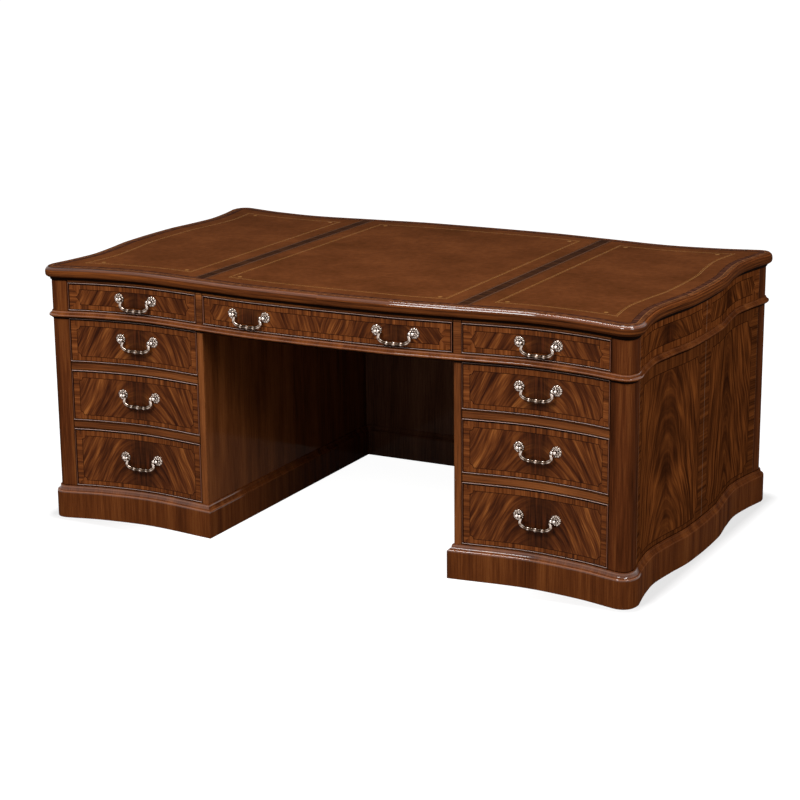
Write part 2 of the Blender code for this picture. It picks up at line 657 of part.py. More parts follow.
def build_drawers():
    """The nine drawers: three in the frieze and three in each pedestal."""
    rows = (("frieze", FRIEZE_FLOOR, FRIEZE_DRAWER_TALL, FRIEZE_PULL_RISE),
            ("upper", UPPER_FLOOR, UPPER_DRAWER_TALL, PULL_RISE),
            ("middle", MIDDLE_FLOOR, MIDDLE_DRAWER_TALL, PULL_RISE),
            ("lower", PEDESTAL_FLOOR, LOWER_DRAWER_TALL, PULL_RISE))
    for bank, side in (("left", -1), ("right", 1)):
        low, high = sorted((side * BANK_INNER, side * BANK_OUTER))
        for row, floor, tall, rise in rows:
            name = f"{bank}_{row}_drawer"
            pull = (f"{bank}_{row}_bail", (low + high) / 2, rise)
            add_drawer(name, low, high, floor, tall, [pull])
    reach = CENTRE_HALF - CENTRE_PULL_IN
    pulls = [("centre_left_bail", -reach, FRIEZE_PULL_RISE), ("centre_right_bail", reach, FRIEZE_PULL_RISE)]
    add_drawer("centre_drawer", -CENTRE_HALF, CENTRE_HALF, FRIEZE_FLOOR, FRIEZE_DRAWER_TALL, pulls)


def main():
    clear_scene()
    build_top()
    build_frieze()
    build_pedestal("left", -1)
    build_pedestal("right", 1)
    build_modesty()
    build_drawers()


main()
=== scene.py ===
# %% [markdown]
# # A serpentine mahogany writing desk
#
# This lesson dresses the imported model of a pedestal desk: nine drawers, a top let in with three panels
# of tooled leather, and swan-neck pulls of old brass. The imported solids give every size. They can't be
# moved, so each finished piece is built on the same lines and then rides on the same body.

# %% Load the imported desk
import math

import bmesh
import bpy
import numpy as np
from mathutils import Matrix, Vector
from mathutils.geometry import intersect_line_line_2d


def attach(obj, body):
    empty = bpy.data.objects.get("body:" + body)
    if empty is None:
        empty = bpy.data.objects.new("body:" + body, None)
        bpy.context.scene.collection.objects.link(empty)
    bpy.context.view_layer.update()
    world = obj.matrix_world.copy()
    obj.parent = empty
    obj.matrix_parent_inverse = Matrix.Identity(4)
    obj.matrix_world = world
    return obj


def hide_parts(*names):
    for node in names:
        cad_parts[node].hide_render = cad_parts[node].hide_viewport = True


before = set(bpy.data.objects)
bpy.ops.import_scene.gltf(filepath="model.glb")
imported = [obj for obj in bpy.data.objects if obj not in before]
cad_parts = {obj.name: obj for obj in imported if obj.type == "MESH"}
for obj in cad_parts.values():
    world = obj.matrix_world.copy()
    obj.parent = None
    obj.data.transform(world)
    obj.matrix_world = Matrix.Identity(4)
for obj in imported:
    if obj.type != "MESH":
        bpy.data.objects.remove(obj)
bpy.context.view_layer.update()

scene = bpy.context.scene

# %% [markdown]
# ## The camera
#
# The photograph was taken from a little above the top, to the right of the front, with a long lens, so
# upright edges stay nearly parallel. A camera can be aimed with a constraint, but a constraint can't hold
# the slight roll of the picture. So the three directions of the view are worked out and put straight into
# the camera's matrix, and the lens shift frames the desk as the photograph does.

# %% Place the camera
TURN, DROP, ROLL = math.radians(28.4627), math.radians(15.3887), math.radians(0.7359)
view_out = Vector((-math.sin(TURN) * math.cos(DROP), math.cos(TURN) * math.cos(DROP), -math.sin(DROP)))
view_right = Vector((math.cos(TURN), math.sin(TURN), 0))
view_down = view_out.cross(view_right)
across = math.cos(ROLL) * view_right + math.sin(ROLL) * view_down
down = math.cos(ROLL) * view_down - math.sin(ROLL) * view_right

camera = bpy.data.objects.new("camera", bpy.data.cameras.new("camera"))
scene.collection.objects.link(camera)
camera.data.lens = 96.92
camera.data.sensor_width = 36
camera.data.shift_x = 0.0348
camera.data.shift_y = 0.0217
camera.data.clip_end = 60
stand = Matrix((across, -down, -view_out)).transposed().to_4x4()
stand.translation = (2.94696, -5.69258, 2.05177)
camera.matrix_world = stand
scene.camera = camera
print("camera stands", round(stand.translation.length, 2), "m from the middle of the floor")

# %% [markdown]
# ## A function for nodes, and one for colour
#
# Every finish below is a network of shader nodes. One small function adds a node, sets it and links it,
# and gives back the socket to carry on from, so a pattern reads like a sum. Colours are written as they
# look on a screen, as hex values, and one function turns them into the linear numbers that light needs.

# %% Add a node, and turn a colour to linear
def linear(hex_colour):
    """The linear colour of an sRGB hex value."""
    parts = [int(hex_colour[i:i + 2], 16) / 255 for i in (1, 3, 5)]
    return [p / 12.92 if p <= 0.04045 else ((p + 0.055) / 1.055) ** 2.4 for p in parts] + [1.0]


def add(tree, kind, *values, give=0, stops=None, **settings):
    """Adds a shader node and returns one of its outputs.

    A second word of the kind is its operation. Values fill the inputs in order, and a dictionary fills them by
    name. A value that is a socket is linked.
    """
    kind, *operation = kind.split()
    node = tree.nodes.new("ShaderNode" + kind)
    if operation:
        node.operation = operation[0]
    for name, value in settings.items():
        setattr(node, name, value)
    if stops:
        ramp = node.color_ramp.elements
        while len(ramp) < len(stops):
            ramp.new(0.5)
        for element, (position, colour) in zip(ramp, stops):
            element.position, element.color = position, linear(colour)
    inputs = {}
    for number, value in enumerate(values):
        inputs |= value if isinstance(value, dict) else {number: value}
    for name, value in inputs.items():
        if isinstance(value, bpy.types.NodeSocket):
            tree.links.new(value, node.inputs[name])
        else:
            node.inputs[name].default_value = value
    return node.outputs[give] if node.outputs else node


print("white is", linear("#ffffff"), "mahogany brown is", [round(c, 3) for c in linear("#6b3a1c")])

# %% [markdown]
# ## The floor and the light
#
# The photograph was lit in a studio, with a large soft light nearly in front, a second one high on the
# right, and a white floor that runs up behind the desk. Here the floor is one plane, white where it is lit,
# with a little glow of its own for the camera, so that only the desk's shadow shows on it. The lamps stay at
# a plain level, where a colour renders about as it is written.

# %% Lay the floor
def new_material(name):
    """A material with an empty node tree."""
    material = bpy.data.materials.new(name)
    material.use_nodes = True
    material.node_tree.nodes.clear()
    return material, material.node_tree


def straight_view(tree):
    """1 for the rays that show the background: of the camera, of a reflection, and through glass."""
    seen = 0.0
    for kind in ("Camera", "Glossy", "Transmission"):
        seen = add(tree, "Math MAXIMUM", seen, add(tree, "LightPath", give=f"Is {kind} Ray"))
    return seen


FOOTPRINT = (0.93, 0.55, 0.0)
mesh = bmesh.new()
bmesh.ops.create_grid(mesh, x_segments=1, y_segments=1, size=22)
data = bpy.data.meshes.new("studio_floor")
mesh.to_mesh(data)
mesh.free()
floor = bpy.data.objects.new("studio_floor", data)
scene.collection.objects.link(floor)

# Matt white studio paper with a glow of its own for the camera. The glow is least right beside the desk,
# where its shadow shows, and nearly full across the middle under the kneehole, which paints out the shade there.
paper, tree = new_material("white_studio_paper")
place = add(tree, "TexCoord", give="Object")
mirrored = add(tree, "VectorMath ABSOLUTE", place)
beyond = add(tree, "VectorMath SUBTRACT", mirrored, FOOTPRINT)
beyond = add(tree, "VectorMath MAXIMUM", beyond, (0.0, 0.0, 0.0))
away = add(tree, "VectorMath LENGTH", beyond, give="Value")
aside = add(tree, "SeparateXYZ", mirrored)
outside = add(tree, "MapRange", away, 0.0, 0.11, 0.50, 1.0, interpolation_type="SMOOTHSTEP")
kneehole = add(tree, "MapRange", aside, 0.35, 0.80, 0.97, 0.62, interpolation_type="SMOOTHSTEP")
white = add(tree, "Math MAXIMUM", outside, kneehole)
glow = add(tree, "Emission", linear("#ffffff"), add(tree, "Math MULTIPLY", straight_view(tree), white))
add(tree, "OutputMaterial", add(tree, "AddShader", add(tree, "BsdfDiffuse", linear("#929292")), glow))
data.materials.append(paper)

# %% [markdown]
# Three softboxes light the desk. The overhead one isn't mirrored in the lacquer, and in its place a narrow
# strip lights nothing but is mirrored, so the mouldings get thin highlights and the top stays brown.

# %% Set the lamps and the world
def softbox(name, place, aim, wide, tall, watts):
    """A rectangular studio light that faces a point."""
    lamp = bpy.data.objects.new(name, bpy.data.lights.new(name, "AREA"))
    lamp.data.shape = "RECTANGLE"
    lamp.data.size, lamp.data.size_y, lamp.data.energy = wide, tall, watts
    lamp.location = place
    lamp.rotation_euler = (Vector(aim) - Vector(place)).to_track_quat("-Z", "Y").to_euler()
    scene.collection.objects.link(lamp)
    return lamp


softbox("key_softbox", (-0.6, -3.7, 3.6), (0.2, 0, 0.4), 1.5, 1.2, 126)
softbox("overhead_softbox", (0.2, -0.6, 2.9), (0.1, 0, 0.6), 2.8, 0.9, 46).visible_glossy = False
softbox("gloss_strip", (0.5, 0.1, 2.9), (0.4, -0.4, 0.7), 2.4, 0.36, 95).visible_diffuse = False
softbox("fill_softbox", (4.6, -2.3, 3.7), (0.5, 0, 0.4), 2.0, 2.0, 128)

world = bpy.data.worlds.new("studio")
scene.world = world
world.use_nodes = True
tree = world.node_tree
tree.nodes.clear()
strength = add(tree, "MapRange", {"Value": straight_view(tree), "To Min": 0.24})
add(tree, "OutputWorld", add(tree, "Background", {"Color": linear("#ffffff"), "Strength": strength}))
scene.view_settings.view_transform = "Standard"

# %% [markdown]
# ## The face line
#
# A cabinet maker draws a serpentine desk once, as a full-size line on a board, and cuts a template from
# it. Everything follows that template. It could be a curve object, but plain points are easier to offset
# and cut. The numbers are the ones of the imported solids, sampled here in finer steps so that no facets
# show: the front bellies out at the kneehole, hollows before each pedestal, and turns round a post.

# %% The template of the serpentine
HALF_DEPTH, FRONT_RUN, FRONT_SWEEP = 0.558, 0.905, 0.044
FRONT_SHARES = ((0, 0), (0.22, 0.055), (0.45, 0.50), (0.70, 1.0), (0.87, 0.66), (1.0, 0.03))
SIDE_SWEEP = 0.0285
SIDE_SHARES = ((0, 0), (0.228, 0.105), (0.457, 0.667), (0.656, 1.0), (0.823, 0.70), (1.0, 0.105))
NOSE_REACH, NOSE_SIDE = 0.0365, 0.047
FRONT_STEPS, CORNER_STEPS, SIDE_STEPS = 40, 12, 32


def smooth_value(shares, place):
    """Reads a table of shares as one smooth curve that turns only at the table's own peaks."""
    places, values = [s[0] for s in shares], [s[1] for s in shares]
    rises = [(values[i + 1] - values[i]) / (places[i + 1] - places[i]) for i in range(len(shares) - 1)]
    slopes = [0.0]
    for before, after in zip(rises, rises[1:]):
        slopes.append(0.0 if before * after <= 0 else 2 * before * after / (before + after))
    slopes.append(rises[-1])
    i = max(k for k in range(len(rises)) if places[k] <= place)
    wide = places[i + 1] - places[i]
    t = (place - places[i]) / wide
    start = values[i] * (2 * t**3 - 3 * t**2 + 1) + slopes[i] * wide * (t**3 - 2 * t**2 + t)
    return start + values[i + 1] * (3 * t**2 - 2 * t**3) + slopes[i + 1] * wide * (t**3 - t**2)


def front_point(share):
    """A point of the front line, from the middle (0) to where the post begins (1)."""
    return Vector((FRONT_RUN * share, FRONT_SWEEP * smooth_value(FRONT_SHARES, share) - HALF_DEPTH))


def flipped(points, side=1, end=1):
    """Points, or their mirror image on the left (side -1) or at the back (end -1)."""
    return [Vector((p.x * side, p.y * end)) for p in points]


def quarter_line(rounded=True):
    """A quarter of the face line, from the middle of the front to the middle of the right side."""
    line = [front_point(step / FRONT_STEPS) for step in range(FRONT_STEPS + 1)]
    heading = (line[-1] - front_point(7 / 8)).normalized()
    start, corner = line[-1], line[-1] + heading * (NOSE_REACH / heading.x)
    end = corner + Vector((0, NOSE_SIDE))
    if rounded:
        shares = [step / CORNER_STEPS for step in range(1, CORNER_STEPS + 1)]
        line += [start.lerp(corner, t).lerp(corner.lerp(end, t), t) for t in shares]
    else:
        line += [corner, end]
    widest = end.x + SIDE_SWEEP * SIDE_SHARES[-1][1]
    for step in range(1, SIDE_STEPS + 1):
        share = 1 - step / SIDE_STEPS
        line.append(Vector((widest - SIDE_SWEEP * smooth_value(SIDE_SHARES, share), end.y * share)))
    return line


def shifted(points, distance, closed=True):
    """A line moved outwards by a distance, with mitred corners."""
    outs = [Vector((b.y - a.y, a.x - b.x)).normalized() for a, b in zip(points, points[1:] + points[:1])]
    if closed:
        before, after = outs[-1:] + outs, outs
    else:
        before, after = outs[:1] + outs[:-1], outs[:-1] + outs[-2:-1]
    return [here + (a + b) * (distance / (1 + a.dot(b))) for here, a, b in zip(points, before, after)]


def face_loop(distance=0.0, rounded=True):
    """The whole closed outline at a distance from the face line, from the middle of the front.

    With sharp corners it has as many points as with rounded ones, spread along the two straight runs
    that meet at each corner, so that a sharp loop can be joined to a rounded one.
    """
    quarter = quarter_line(rounded)
    right = quarter + flipped(quarter[-2::-1], end=-1)
    loop = shifted(right + flipped(right[-2:0:-1], -1), distance)
    if rounded:
        return loop
    half, corner = len(right) - 1, FRONT_STEPS + 1
    corners = {corner, half - corner, half + corner, 2 * half - corner}
    points = []
    for i, here in enumerate(loop):
        runs = CORNER_STEPS // 2 if i in corners or i + 1 in corners else 1
        points += [here.lerp(loop[(i + 1) % len(loop)], step / runs) for step in range(runs)]
    return points


LOOP = face_loop()
print("face line of", len(LOOP), "points, half width", round(max(p.x for p in LOOP), 4))

# %% [markdown]
# Pieces are cut from the line between two places. The cut falls on the line itself, and points that lie
# too close beside it are dropped, so that no sliver of a face is left at a joint.

# %% Cut a stretch of the line
def crossing(path, axis, value):
    """Where a path first meets a value on one axis, and how many of its points come before that."""
    for i in range(len(path) - 1):
        start, stop = path[i][axis], path[i + 1][axis]
        if start != stop and (start - value) * (stop - value) <= 0:
            return path[i].lerp(path[i + 1], (value - start) / (stop - start)), i + 1
    raise ValueError("the path never meets this value")


def stretch_of(path, first, last):
    """The part of a path from one limit to another, each an axis and a value."""
    start, before = crossing(path, *first)
    stop, behind = crossing(path[::-1], *last)
    inside = path[before:len(path) - behind]
    return [start] + [p for p in inside if min((p - start).length, (p - stop).length) > 0.002] + [stop]


def right_half(distance=0.0, rounded=True):
    """The right half of the outline, from the middle of the front to the middle of the back."""
    loop = face_loop(distance, rounded)
    return loop[:len(loop) // 2 + 1]


def front_between(low, high, distance=0.0):
    """The front line between two places across the desk, left to right."""
    half = right_half(distance, False)[:FRONT_STEPS + CORNER_STEPS // 2 + 1]
    return stretch_of(flipped(half[:0:-1], -1) + half, (0, low), (0, high))


def back_between(low, high, distance=0.0):
    """The back line between two places, left to right."""
    return flipped(front_between(low, high, distance), end=-1)


def side_between(low, high, distance=0.0):
    """The right side line between two depths, front to back."""
    cut = FRONT_STEPS + CORNER_STEPS // 2
    return stretch_of(right_half(distance, False)[cut:-cut], (1, low), (1, high))


print("drawer bank line of", len(front_between(0.4325, 0.8755)), "points")

# %% [markdown]
# ## How a piece is finished
#
# Veneer follows the work: on the real desk its grain runs with the serpentine, and each piece is cut and
# laid on its own. A flat projection would smear the figure where the line turns away. So each piece gets a
# UV map in metres, unrolled along the face line: across it runs the length of the line, and up it runs the
# height, less the distance that the surface stands out, which carries the map on over ledges and mouldings.
# One function does this for every piece, turns its faces outwards and hangs it on its body.

# %% Unroll a piece along the line, and finish it
TEMPLATE = np.array([p.to_tuple() for p in LOOP])
RUNS = np.roll(TEMPLATE, -1, 0) - TEMPLATE
LENGTHS = np.hypot(RUNS[:, 0], RUNS[:, 1])
REACHED = np.concatenate([[0], np.cumsum(LENGTHS)])
ROUND = float(REACHED[-1])


def unrolled(places):
    """How far round the face line each place lies, and how far out from it."""
    found = []
    for x, y in places:
        away = np.array([x, y]) - TEMPLATE
        share = np.clip((away * RUNS).sum(1) / LENGTHS**2, 0, 1)
        gap = away - RUNS * share[:, None]
        i = int(np.argmin((gap**2).sum(1)))
        out = (gap[i, 0] * RUNS[i, 1] - gap[i, 1] * RUNS[i, 0]) / LENGTHS[i]
        found.append((REACHED[i] + share[i] * LENGTHS[i], math.copysign(math.hypot(*gap[i]), out)))
    return found


def lay_grain(mesh, middle=None):
    """Gives a mesh its unrolled UV map in metres, counted from a middle place on the line."""
    layer = mesh.loops.layers.uv.new("grain")
    places = dict(zip((v.index for v in mesh.verts), unrolled([v.co.xy for v in mesh.verts])))
    for face in mesh.faces:
        runs = [places[v.index][0] for v in face.verts]
        wraps = max(runs) - min(runs) > ROUND / 2
        for loop in face.loops:
            run, out = places[loop.vert.index]
            run += ROUND if wraps and run < ROUND / 2 else 0
            if middle is not None:
                run = (run - middle + ROUND / 2) % ROUND - ROUND / 2
            loop[layer].uv = (run, loop.vert.co.z - out)


def finish_piece(name, mesh, material, nodes=(), body="carcase", middle=None,
                 grained=True, crisp=32):
    """Makes the object of one piece: faces outwards, unrolled, smooth where it is round, riding on a body."""
    bmesh.ops.recalc_face_normals(mesh, faces=mesh.faces)
    if mesh.calc_volume(signed=True) < 0:
        bmesh.ops.reverse_faces(mesh, faces=mesh.faces)
    mesh.verts.index_update()
    if grained:
        lay_grain(mesh, middle)
    data = bpy.data.meshes.new(name)
    mesh.to_mesh(data)
    mesh.free()
    data.shade_smooth()
    data.set_sharp_from_angle(angle=math.radians(crisp))
    data.materials.append(material)
    piece = bpy.data.objects.new(name, data)
    scene.collection.objects.link(piece)
    even = piece.modifiers.new("even_shading", "WEIGHTED_NORMAL")
    even.keep_sharp = True
    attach(piece, body)
    if nodes:
        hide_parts(*nodes)
    return piece


print("face line is", round(ROUND, 3), "m round")

# %% [markdown]
# ## Boards and mouldings
#
# Two shapes make nearly all of the desk. A board is a plan outline pushed up, with its sharp edges just
# broken, as glasspaper leaves them. A moulding is a section carried along a line. A curve object with a
# bevel profile could sweep it, but would twist at the corners. Here an edge loop is laid at the first point
# of the section and extruded to the next points, each loop offset from the face line, so it mitres itself.

# %% A board and a moulding
def broken_edges(mesh, width, segments=2, least=50):
    """Rounds the edges of a mesh that turn by more than an angle in degrees."""
    edges = [e for e in mesh.edges if len(e.link_faces) == 2 and e.calc_face_angle(0) > math.radians(least)]
    bmesh.ops.bevel(mesh, geom=edges, offset=width, affect="EDGES", segments=segments, profile=0.5,
                    material=-1, clamp_overlap=True)


def board(outline, low, high, broken=0.0, mesh=None):
    """A board between two levels. Given a mesh, it is added to that mesh."""
    mesh = mesh or bmesh.new()
    ring = [mesh.verts.new((p.x, p.y, low)) for p in outline]
    under = mesh.faces.new(ring)
    grown = bmesh.ops.extrude_face_region(mesh, geom=[under])["geom"]
    top = [item for item in grown if isinstance(item, bmesh.types.BMVert)]
    bmesh.ops.translate(mesh, vec=(0, 0, high - low), verts=top)
    bmesh.ops.recalc_face_normals(mesh, faces=mesh.faces)
    if broken:
        broken_edges(mesh, broken)
    return mesh


def swept(lines, closed_section=True):
    """A moulding carried round a closed line. Each line is (points, level), one for each section point."""
    mesh = bmesh.new()
    points, level = lines[0]
    ring = [mesh.verts.new((p.x, p.y, level)) for p in points]
    start = now = [mesh.edges.new(pair) for pair in zip(ring, ring[1:] + ring[:1])]
    for points, level in lines[1:]:
        grown = bmesh.ops.extrude_edge_only(mesh, edges=now)["geom"]
        now = [item for item in grown if isinstance(item, bmesh.types.BMEdge)]
        number = {vert: i for i, vert in enumerate(ring)}
        ring = [None] * len(ring)
        for vert in (item for item in grown if isinstance(item, bmesh.types.BMVert)):
            below = next(e.other_vert(vert) for e in vert.link_edges if e.other_vert(vert) in number)
            ring[number[below]] = vert
        for vert, p in zip(ring, points):
            vert.co = (p.x, p.y, level)
    if closed_section:
        bmesh.ops.bridge_loops(mesh, edges=start + now)
    return mesh


def through(points, steps=4):
    """A smooth run through the points of a profile, as a spokeshave would leave it."""
    run = []
    for i in range(len(points) - 1):
        a, b = points[max(i - 1, 0)], points[i]
        c, d = points[i + 1], points[min(i + 2, len(points) - 1)]
        for step in range(steps):
            t = step / steps
            run.append(tuple(0.5 * (2 * b[k] + (c[k] - a[k]) * t + (2 * a[k] - 5 * b[k] + 4 * c[k] - d[k]) * t**2
                                    + (3 * b[k] - a[k] - 3 * c[k] + d[k]) * t**3) for k in range(len(a))))
    return run + [points[-1]]


print("a run through 3 points has", len(through([(0, 0), (1, 1), (2, 0)])), "points")

# %% [markdown]
# ## Mahogany
#
# Straight-grained mahogany is a warm red brown with soft ribbons a few centimetres wide, fine streaks of a
# millimetre or two, and short dark pores. Wave textures would draw it too evenly, so each of these is a
# noise that is drawn out along the grain, with its real width and length in metres. Over it lies a hand
# rubbed lacquer: a satin ground with a clear coat. The coat alone reflects, so that it gives the thin
# highlights along the mouldings and the wood under it keeps its depth.

# %% Streaks along the grain, and the lacquer over them
COLOURS = {"data_type": "RGBA", "give": 2}


def streaks(tree, plane, wide, long, detail=3.0, shift=0.0):
    """Noise drawn out along the grain. The plane is (across, along) in metres, and so are wide and long."""
    size, start = (1 / wide, 1 / long, 1), (shift, shift * 0.37, shift)
    drawn = add(tree, "VectorMath MULTIPLY_ADD", plane, size, start)
    return add(tree, "TexNoise", {"Vector": drawn, "Scale": 1.0, "Detail": detail, "Roughness": 0.6})


def lacquered(material, colour, height, coat=0.03):
    """Finishes a wood: a satin ground whose gloss varies a little, fine relief, and a clear coat."""
    tree = material.node_tree
    gloss = add(tree, "MapRange", {"Value": height, "To Min": 0.46, "To Max": 0.34})
    relief = add(tree, "Bump", {"Height": height, "Distance": 0.00006, "Strength": 1.0})
    wood = add(tree, "BsdfPrincipled", {"Base Color": colour, "Roughness": gloss, "Normal": relief, "IOR": 1.5,
                                        "Specular IOR Level": 0.0, "Coat Weight": coat, "Coat Roughness": 0.07,
                                        "Coat IOR": 1.5})
    add(tree, "OutputMaterial", wood)
    return material


def straight_colour(tree, plane, tones=("#3a1a0b", "#693619", "#8f5228"), ribbon=0.045, shift=0.0):
    """The colour and relief of straight-grained mahogany on a plane, in dark, middle and light tones."""
    broad = streaks(tree, plane, ribbon, 0.9, 2.0, shift)
    fine = streaks(tree, plane, 0.0028, 0.11, 4.0, shift + 3.1)
    mixed = add(tree, "Mix", {"Factor": 0.42, "A": broad, "B": fine})
    pores = add(tree, "MapRange", {"Value": streaks(tree, plane, 0.0007, 0.008, 1.0, shift + 7.3),
                                   "From Min": 0.60, "From Max": 0.72, "To Min": 1.0, "To Max": 0.72})
    colour = add(tree, "ValToRGB", {"Fac": mixed}, stops=tuple(zip((0.34, 0.50, 0.66), tones)))
    return add(tree, "VectorMath SCALE", {0: colour, "Scale": pores}), pores


def place_on(tree, axes="UV"):
    """The coordinates of a place, on its piece's unrolled map or along some axes of the object."""
    source = add(tree, "UVMap", uv_map="grain") if axes == "UV" else add(tree, "TexCoord", give="Object")
    return [add(tree, "SeparateXYZ", source, give={"U": "X", "V": "Y"}.get(axis, axis)) for axis in axes]


def plane_of(tree, grain="upright", axes="UV"):
    """The plane of (across, along) of a piece, whose grain stands upright or lies level on its axes."""
    x, y = place_on(tree, axes)
    return add(tree, "CombineXYZ", *((x, y) if grain == "upright" else (y, x)))


print("streaks, pores and lacquer are ready")

# %% [markdown]
# The colour isn't even. Painted shade darkens the corners under the mouldings and the gaps round the rails,
# and painted highlights lighten the crests of the front, which also get a glossier coat. Both follow a level or
# a place across the desk, so one function finds how close a place is to a line, and the others draw with it.

# %% Lines of painted shade and painted highlight
def apart(tree, value, middle):
    """How far a value lies from a middle."""
    return add(tree, "Math ABSOLUTE", add(tree, "Math SUBTRACT", value, middle))


def close_to(tree, value, middle, reach, most=1.0, least=0.0, soft=0.0006):
    """The most where a value lies within reach of a middle, falling softly to the least."""
    return add(tree, "MapRange", apart(tree, value, middle), reach, reach + soft, most, least)


def lined(tree, colour, value, middle, reach, tone, most=1.0, soft=0.0006):
    """Draws a line of a tone over a colour, where a value lies within reach of a middle."""
    line = close_to(tree, value, middle, reach, most, soft=soft)
    return add(tree, "Mix", {0: line, 6: colour, 7: linear(tone)}, **COLOURS)


def in_shadow(tree, colour, *reaches, tone="#0d0603", most=0.93):
    """Paints shade over a colour in a corner, under an overhang or in a gap, or paints another tone there.

    Each reach is a lowest and a highest level, or with a letter before them two places along that axis.
    """
    for *axis, low, high in reaches:
        off = add(tree, "Math ABSOLUTE", *place_on(tree, axis or "Z"))
        colour = lined(tree, colour, off, (low + high) / 2, (high - low) / 2 - 0.0006, tone, most, 0.0016)
    return colour


def on_front(tree, most, least):
    """A share that is the most on the face of the front, and the least on the sides and the back.

    The front ends behind all its hollows, and beyond the corner posts' middle it ends near their round.
    """
    x, y = place_on(tree, "XY")
    end = add(tree, "MapRange", add(tree, "Math ABSOLUTE", x), 0.900, 0.915, -0.40, -0.535)
    return add(tree, "MapRange", add(tree, "Math SUBTRACT", y, end), 0.0, 0.05, most, least)


def polished(tree, *reaches):
    """The weight of the clear coat: thick on the crests of the front, which dusters polish, and thin elsewhere.

    Each reach is the lowest and the highest level of a crest.
    """
    level, most, weight = place_on(tree, "Z")[0], on_front(tree, 0.90, 0.0), 0.01
    for low, high in reaches:
        crest = close_to(tree, level, (low + high) / 2, (high - low) / 2 - 0.0005, most, 0.01, 0.0010)
        weight = add(tree, "Math MAXIMUM", weight, crest)
    return weight


# Levels of the painted shade and of the crests: painted shade under the waist and the top, on the plinths and in
# the gaps beside the rails; a thicker coat on the crests, with painted highlights on their upper edges.
SHADES = ((0.6250, 0.6332), (0.7426, 0.7540), (0.1000, 0.1018))
RAIL_EDGES = ((0.2857, 0.2871), (0.3058, 0.3072), (0.4694, 0.4708), (0.4895, 0.4909), (0.7392, 0.7404),
              ("X", 0.4046, 0.4076), ("X", 0.4300, 0.4330))
CRESTS = ((0.0795, 0.0850), (0.0868, 0.0990), (0.6378, 0.6418), (0.6458, 0.6490))
PAINTED_CREST_HIGHLIGHTS = ((0.0826, 0.0846), (0.0950, 0.0966), (0.6372, 0.6392), (0.6468, 0.6484))
print("dark lines", len(SHADES + RAIL_EDGES), "worn crests", len(PAINTED_CREST_HIGHLIGHTS))

# %% [markdown]
# The same mahogany is cut and finished in several ways, each its own material: solid on the posts, along the
# grain on the rails, with painted highlights on the mouldings, dull in the kneehole and waxed in the drawers.
# They differ in tone, in the run of the grain and in the coat.

# %% Finish the straight-grained woods
def straight_mahogany(name, grain="upright", axes="UV", coat=0.03, shade=(), wear_and_painted_sheen=False, **look):
    """Straight-grained mahogany, lacquered. Upright grain runs across the line, level grain along it."""
    material, tree = new_material(name)
    colour, relief = straight_colour(tree, plane_of(tree, grain, axes), **look)
    if wear_and_painted_sheen:
        # Painted highlights on the upper edges of the crests, strongest on the front; the coat is thicker on the
        # crests too.
        colour = in_shadow(tree, colour, *PAINTED_CREST_HIGHLIGHTS, tone="#a86c48", most=on_front(tree, 0.5, 0.12))
        coat = polished(tree, *CRESTS)
    return lacquered(material, in_shadow(tree, colour, *shade), relief, coat)


# Solid mahogany of the rounded posts, dark as end pieces are, with painted shade under the mouldings and a joint
# line where the rails meet them.
upright_mahogany = straight_mahogany("mahogany_corner_posts", coat=0.01, shade=SHADES + (("X", 0.8740, 0.8782),),
                                     tones=("#321709", "#5f3016", "#824b24"))
# Mahogany rails between the drawers, cut along the grain, with painted shade along the gaps at the drawers' edges.
level_mahogany = straight_mahogany("mahogany_drawer_rails", "level", shade=RAIL_EDGES,
                                   tones=("#3a1a0b", "#74401f", "#9c5c2f"))
# Mahogany of the waist and the plinths, with painted highlights on the crests, a thicker coat there, and painted
# shade under the waist.
moulded_mahogany = straight_mahogany("mahogany_mouldings", shade=SHADES[:1], wear_and_painted_sheen=True, ribbon=0.060,
                                     tones=("#411f0e", "#643417", "#824a23"))
# Plain mahogany of the modesty panel, in lighter and greyer tones than the other boards: painted light that lifts
# it in the deep shade at the back of the kneehole.
modesty_mahogany = straight_mahogany("mahogany_modesty_panel", axes="XZ", ribbon=0.090,
                                     tones=("#452b1d", "#6f4833", "#8c6045"))
# Darker mahogany of the boards inside, and pale waxed mahogany of the drawer boxes.
board_mahogany = straight_mahogany("mahogany_inner_boards", "level", "YX", tones=("#2f180c", "#553018", "#6f4022"))
lining_mahogany = straight_mahogany("mahogany_drawer_lining", "level", "XY",
                                    tones=("#5a3118", "#82512d", "#a06d41"))
# Mahogany of the board that lies under the leathers and the strips.
flat_mahogany = straight_mahogany("mahogany_flat_board", "level", "YX")

# Mahogany of the kneehole's sides. Their narrow front edges, beside the drawers, are lighter. Painted shade lies
# under the waist and along the gap beside the drawers.
kneehole_mahogany, tree = new_material("mahogany_kneehole_sides")
in_front = add(tree, "MapRange", *place_on(tree, "Y"), -0.530, -0.528, 1.0, 0.0)
inner, _ = straight_colour(tree, plane_of(tree, axes="YZ"), ("#44230f", "#6e3c1d", "#8a5028"), 0.070)
edge, relief = straight_colour(tree, plane_of(tree, axes="XZ"), ("#3a1a0b", "#774220", "#95582d"))
colour = add(tree, "Mix", {0: in_front, 6: inner, 7: edge}, **COLOURS)
lacquered(kneehole_mahogany, in_shadow(tree, colour, SHADES[0], ("X", 0.4300, 0.4330)), relief)
print("first finishes", [m.name for m in bpy.data.materials if m.name.startswith("mahogany")])

# %% [markdown]
# ## Crotch veneer
#
# The showy veneer of the drawers is cut where the tree forks. There the grain falls away from a dark plume
# in nested arches, bright and dark by turns. A plain noise can't give that, so the pattern is bent first:
# each point is given a number that is the same all along one arch, and the streaks are drawn over that
# number. An arch is a hyperbola: round over the plume and straight further out, as steep as asked. The two
# halves of a sheet mirror each other, as bookmatched leaves do, and a slow drift keeps them from being
# quite alike.

# %% Draw the crotch figure
FLAME = ((0.32, "#32170b"), (0.45, "#512812"), (0.57, "#733e1c"), (0.71, "#a3622e"))


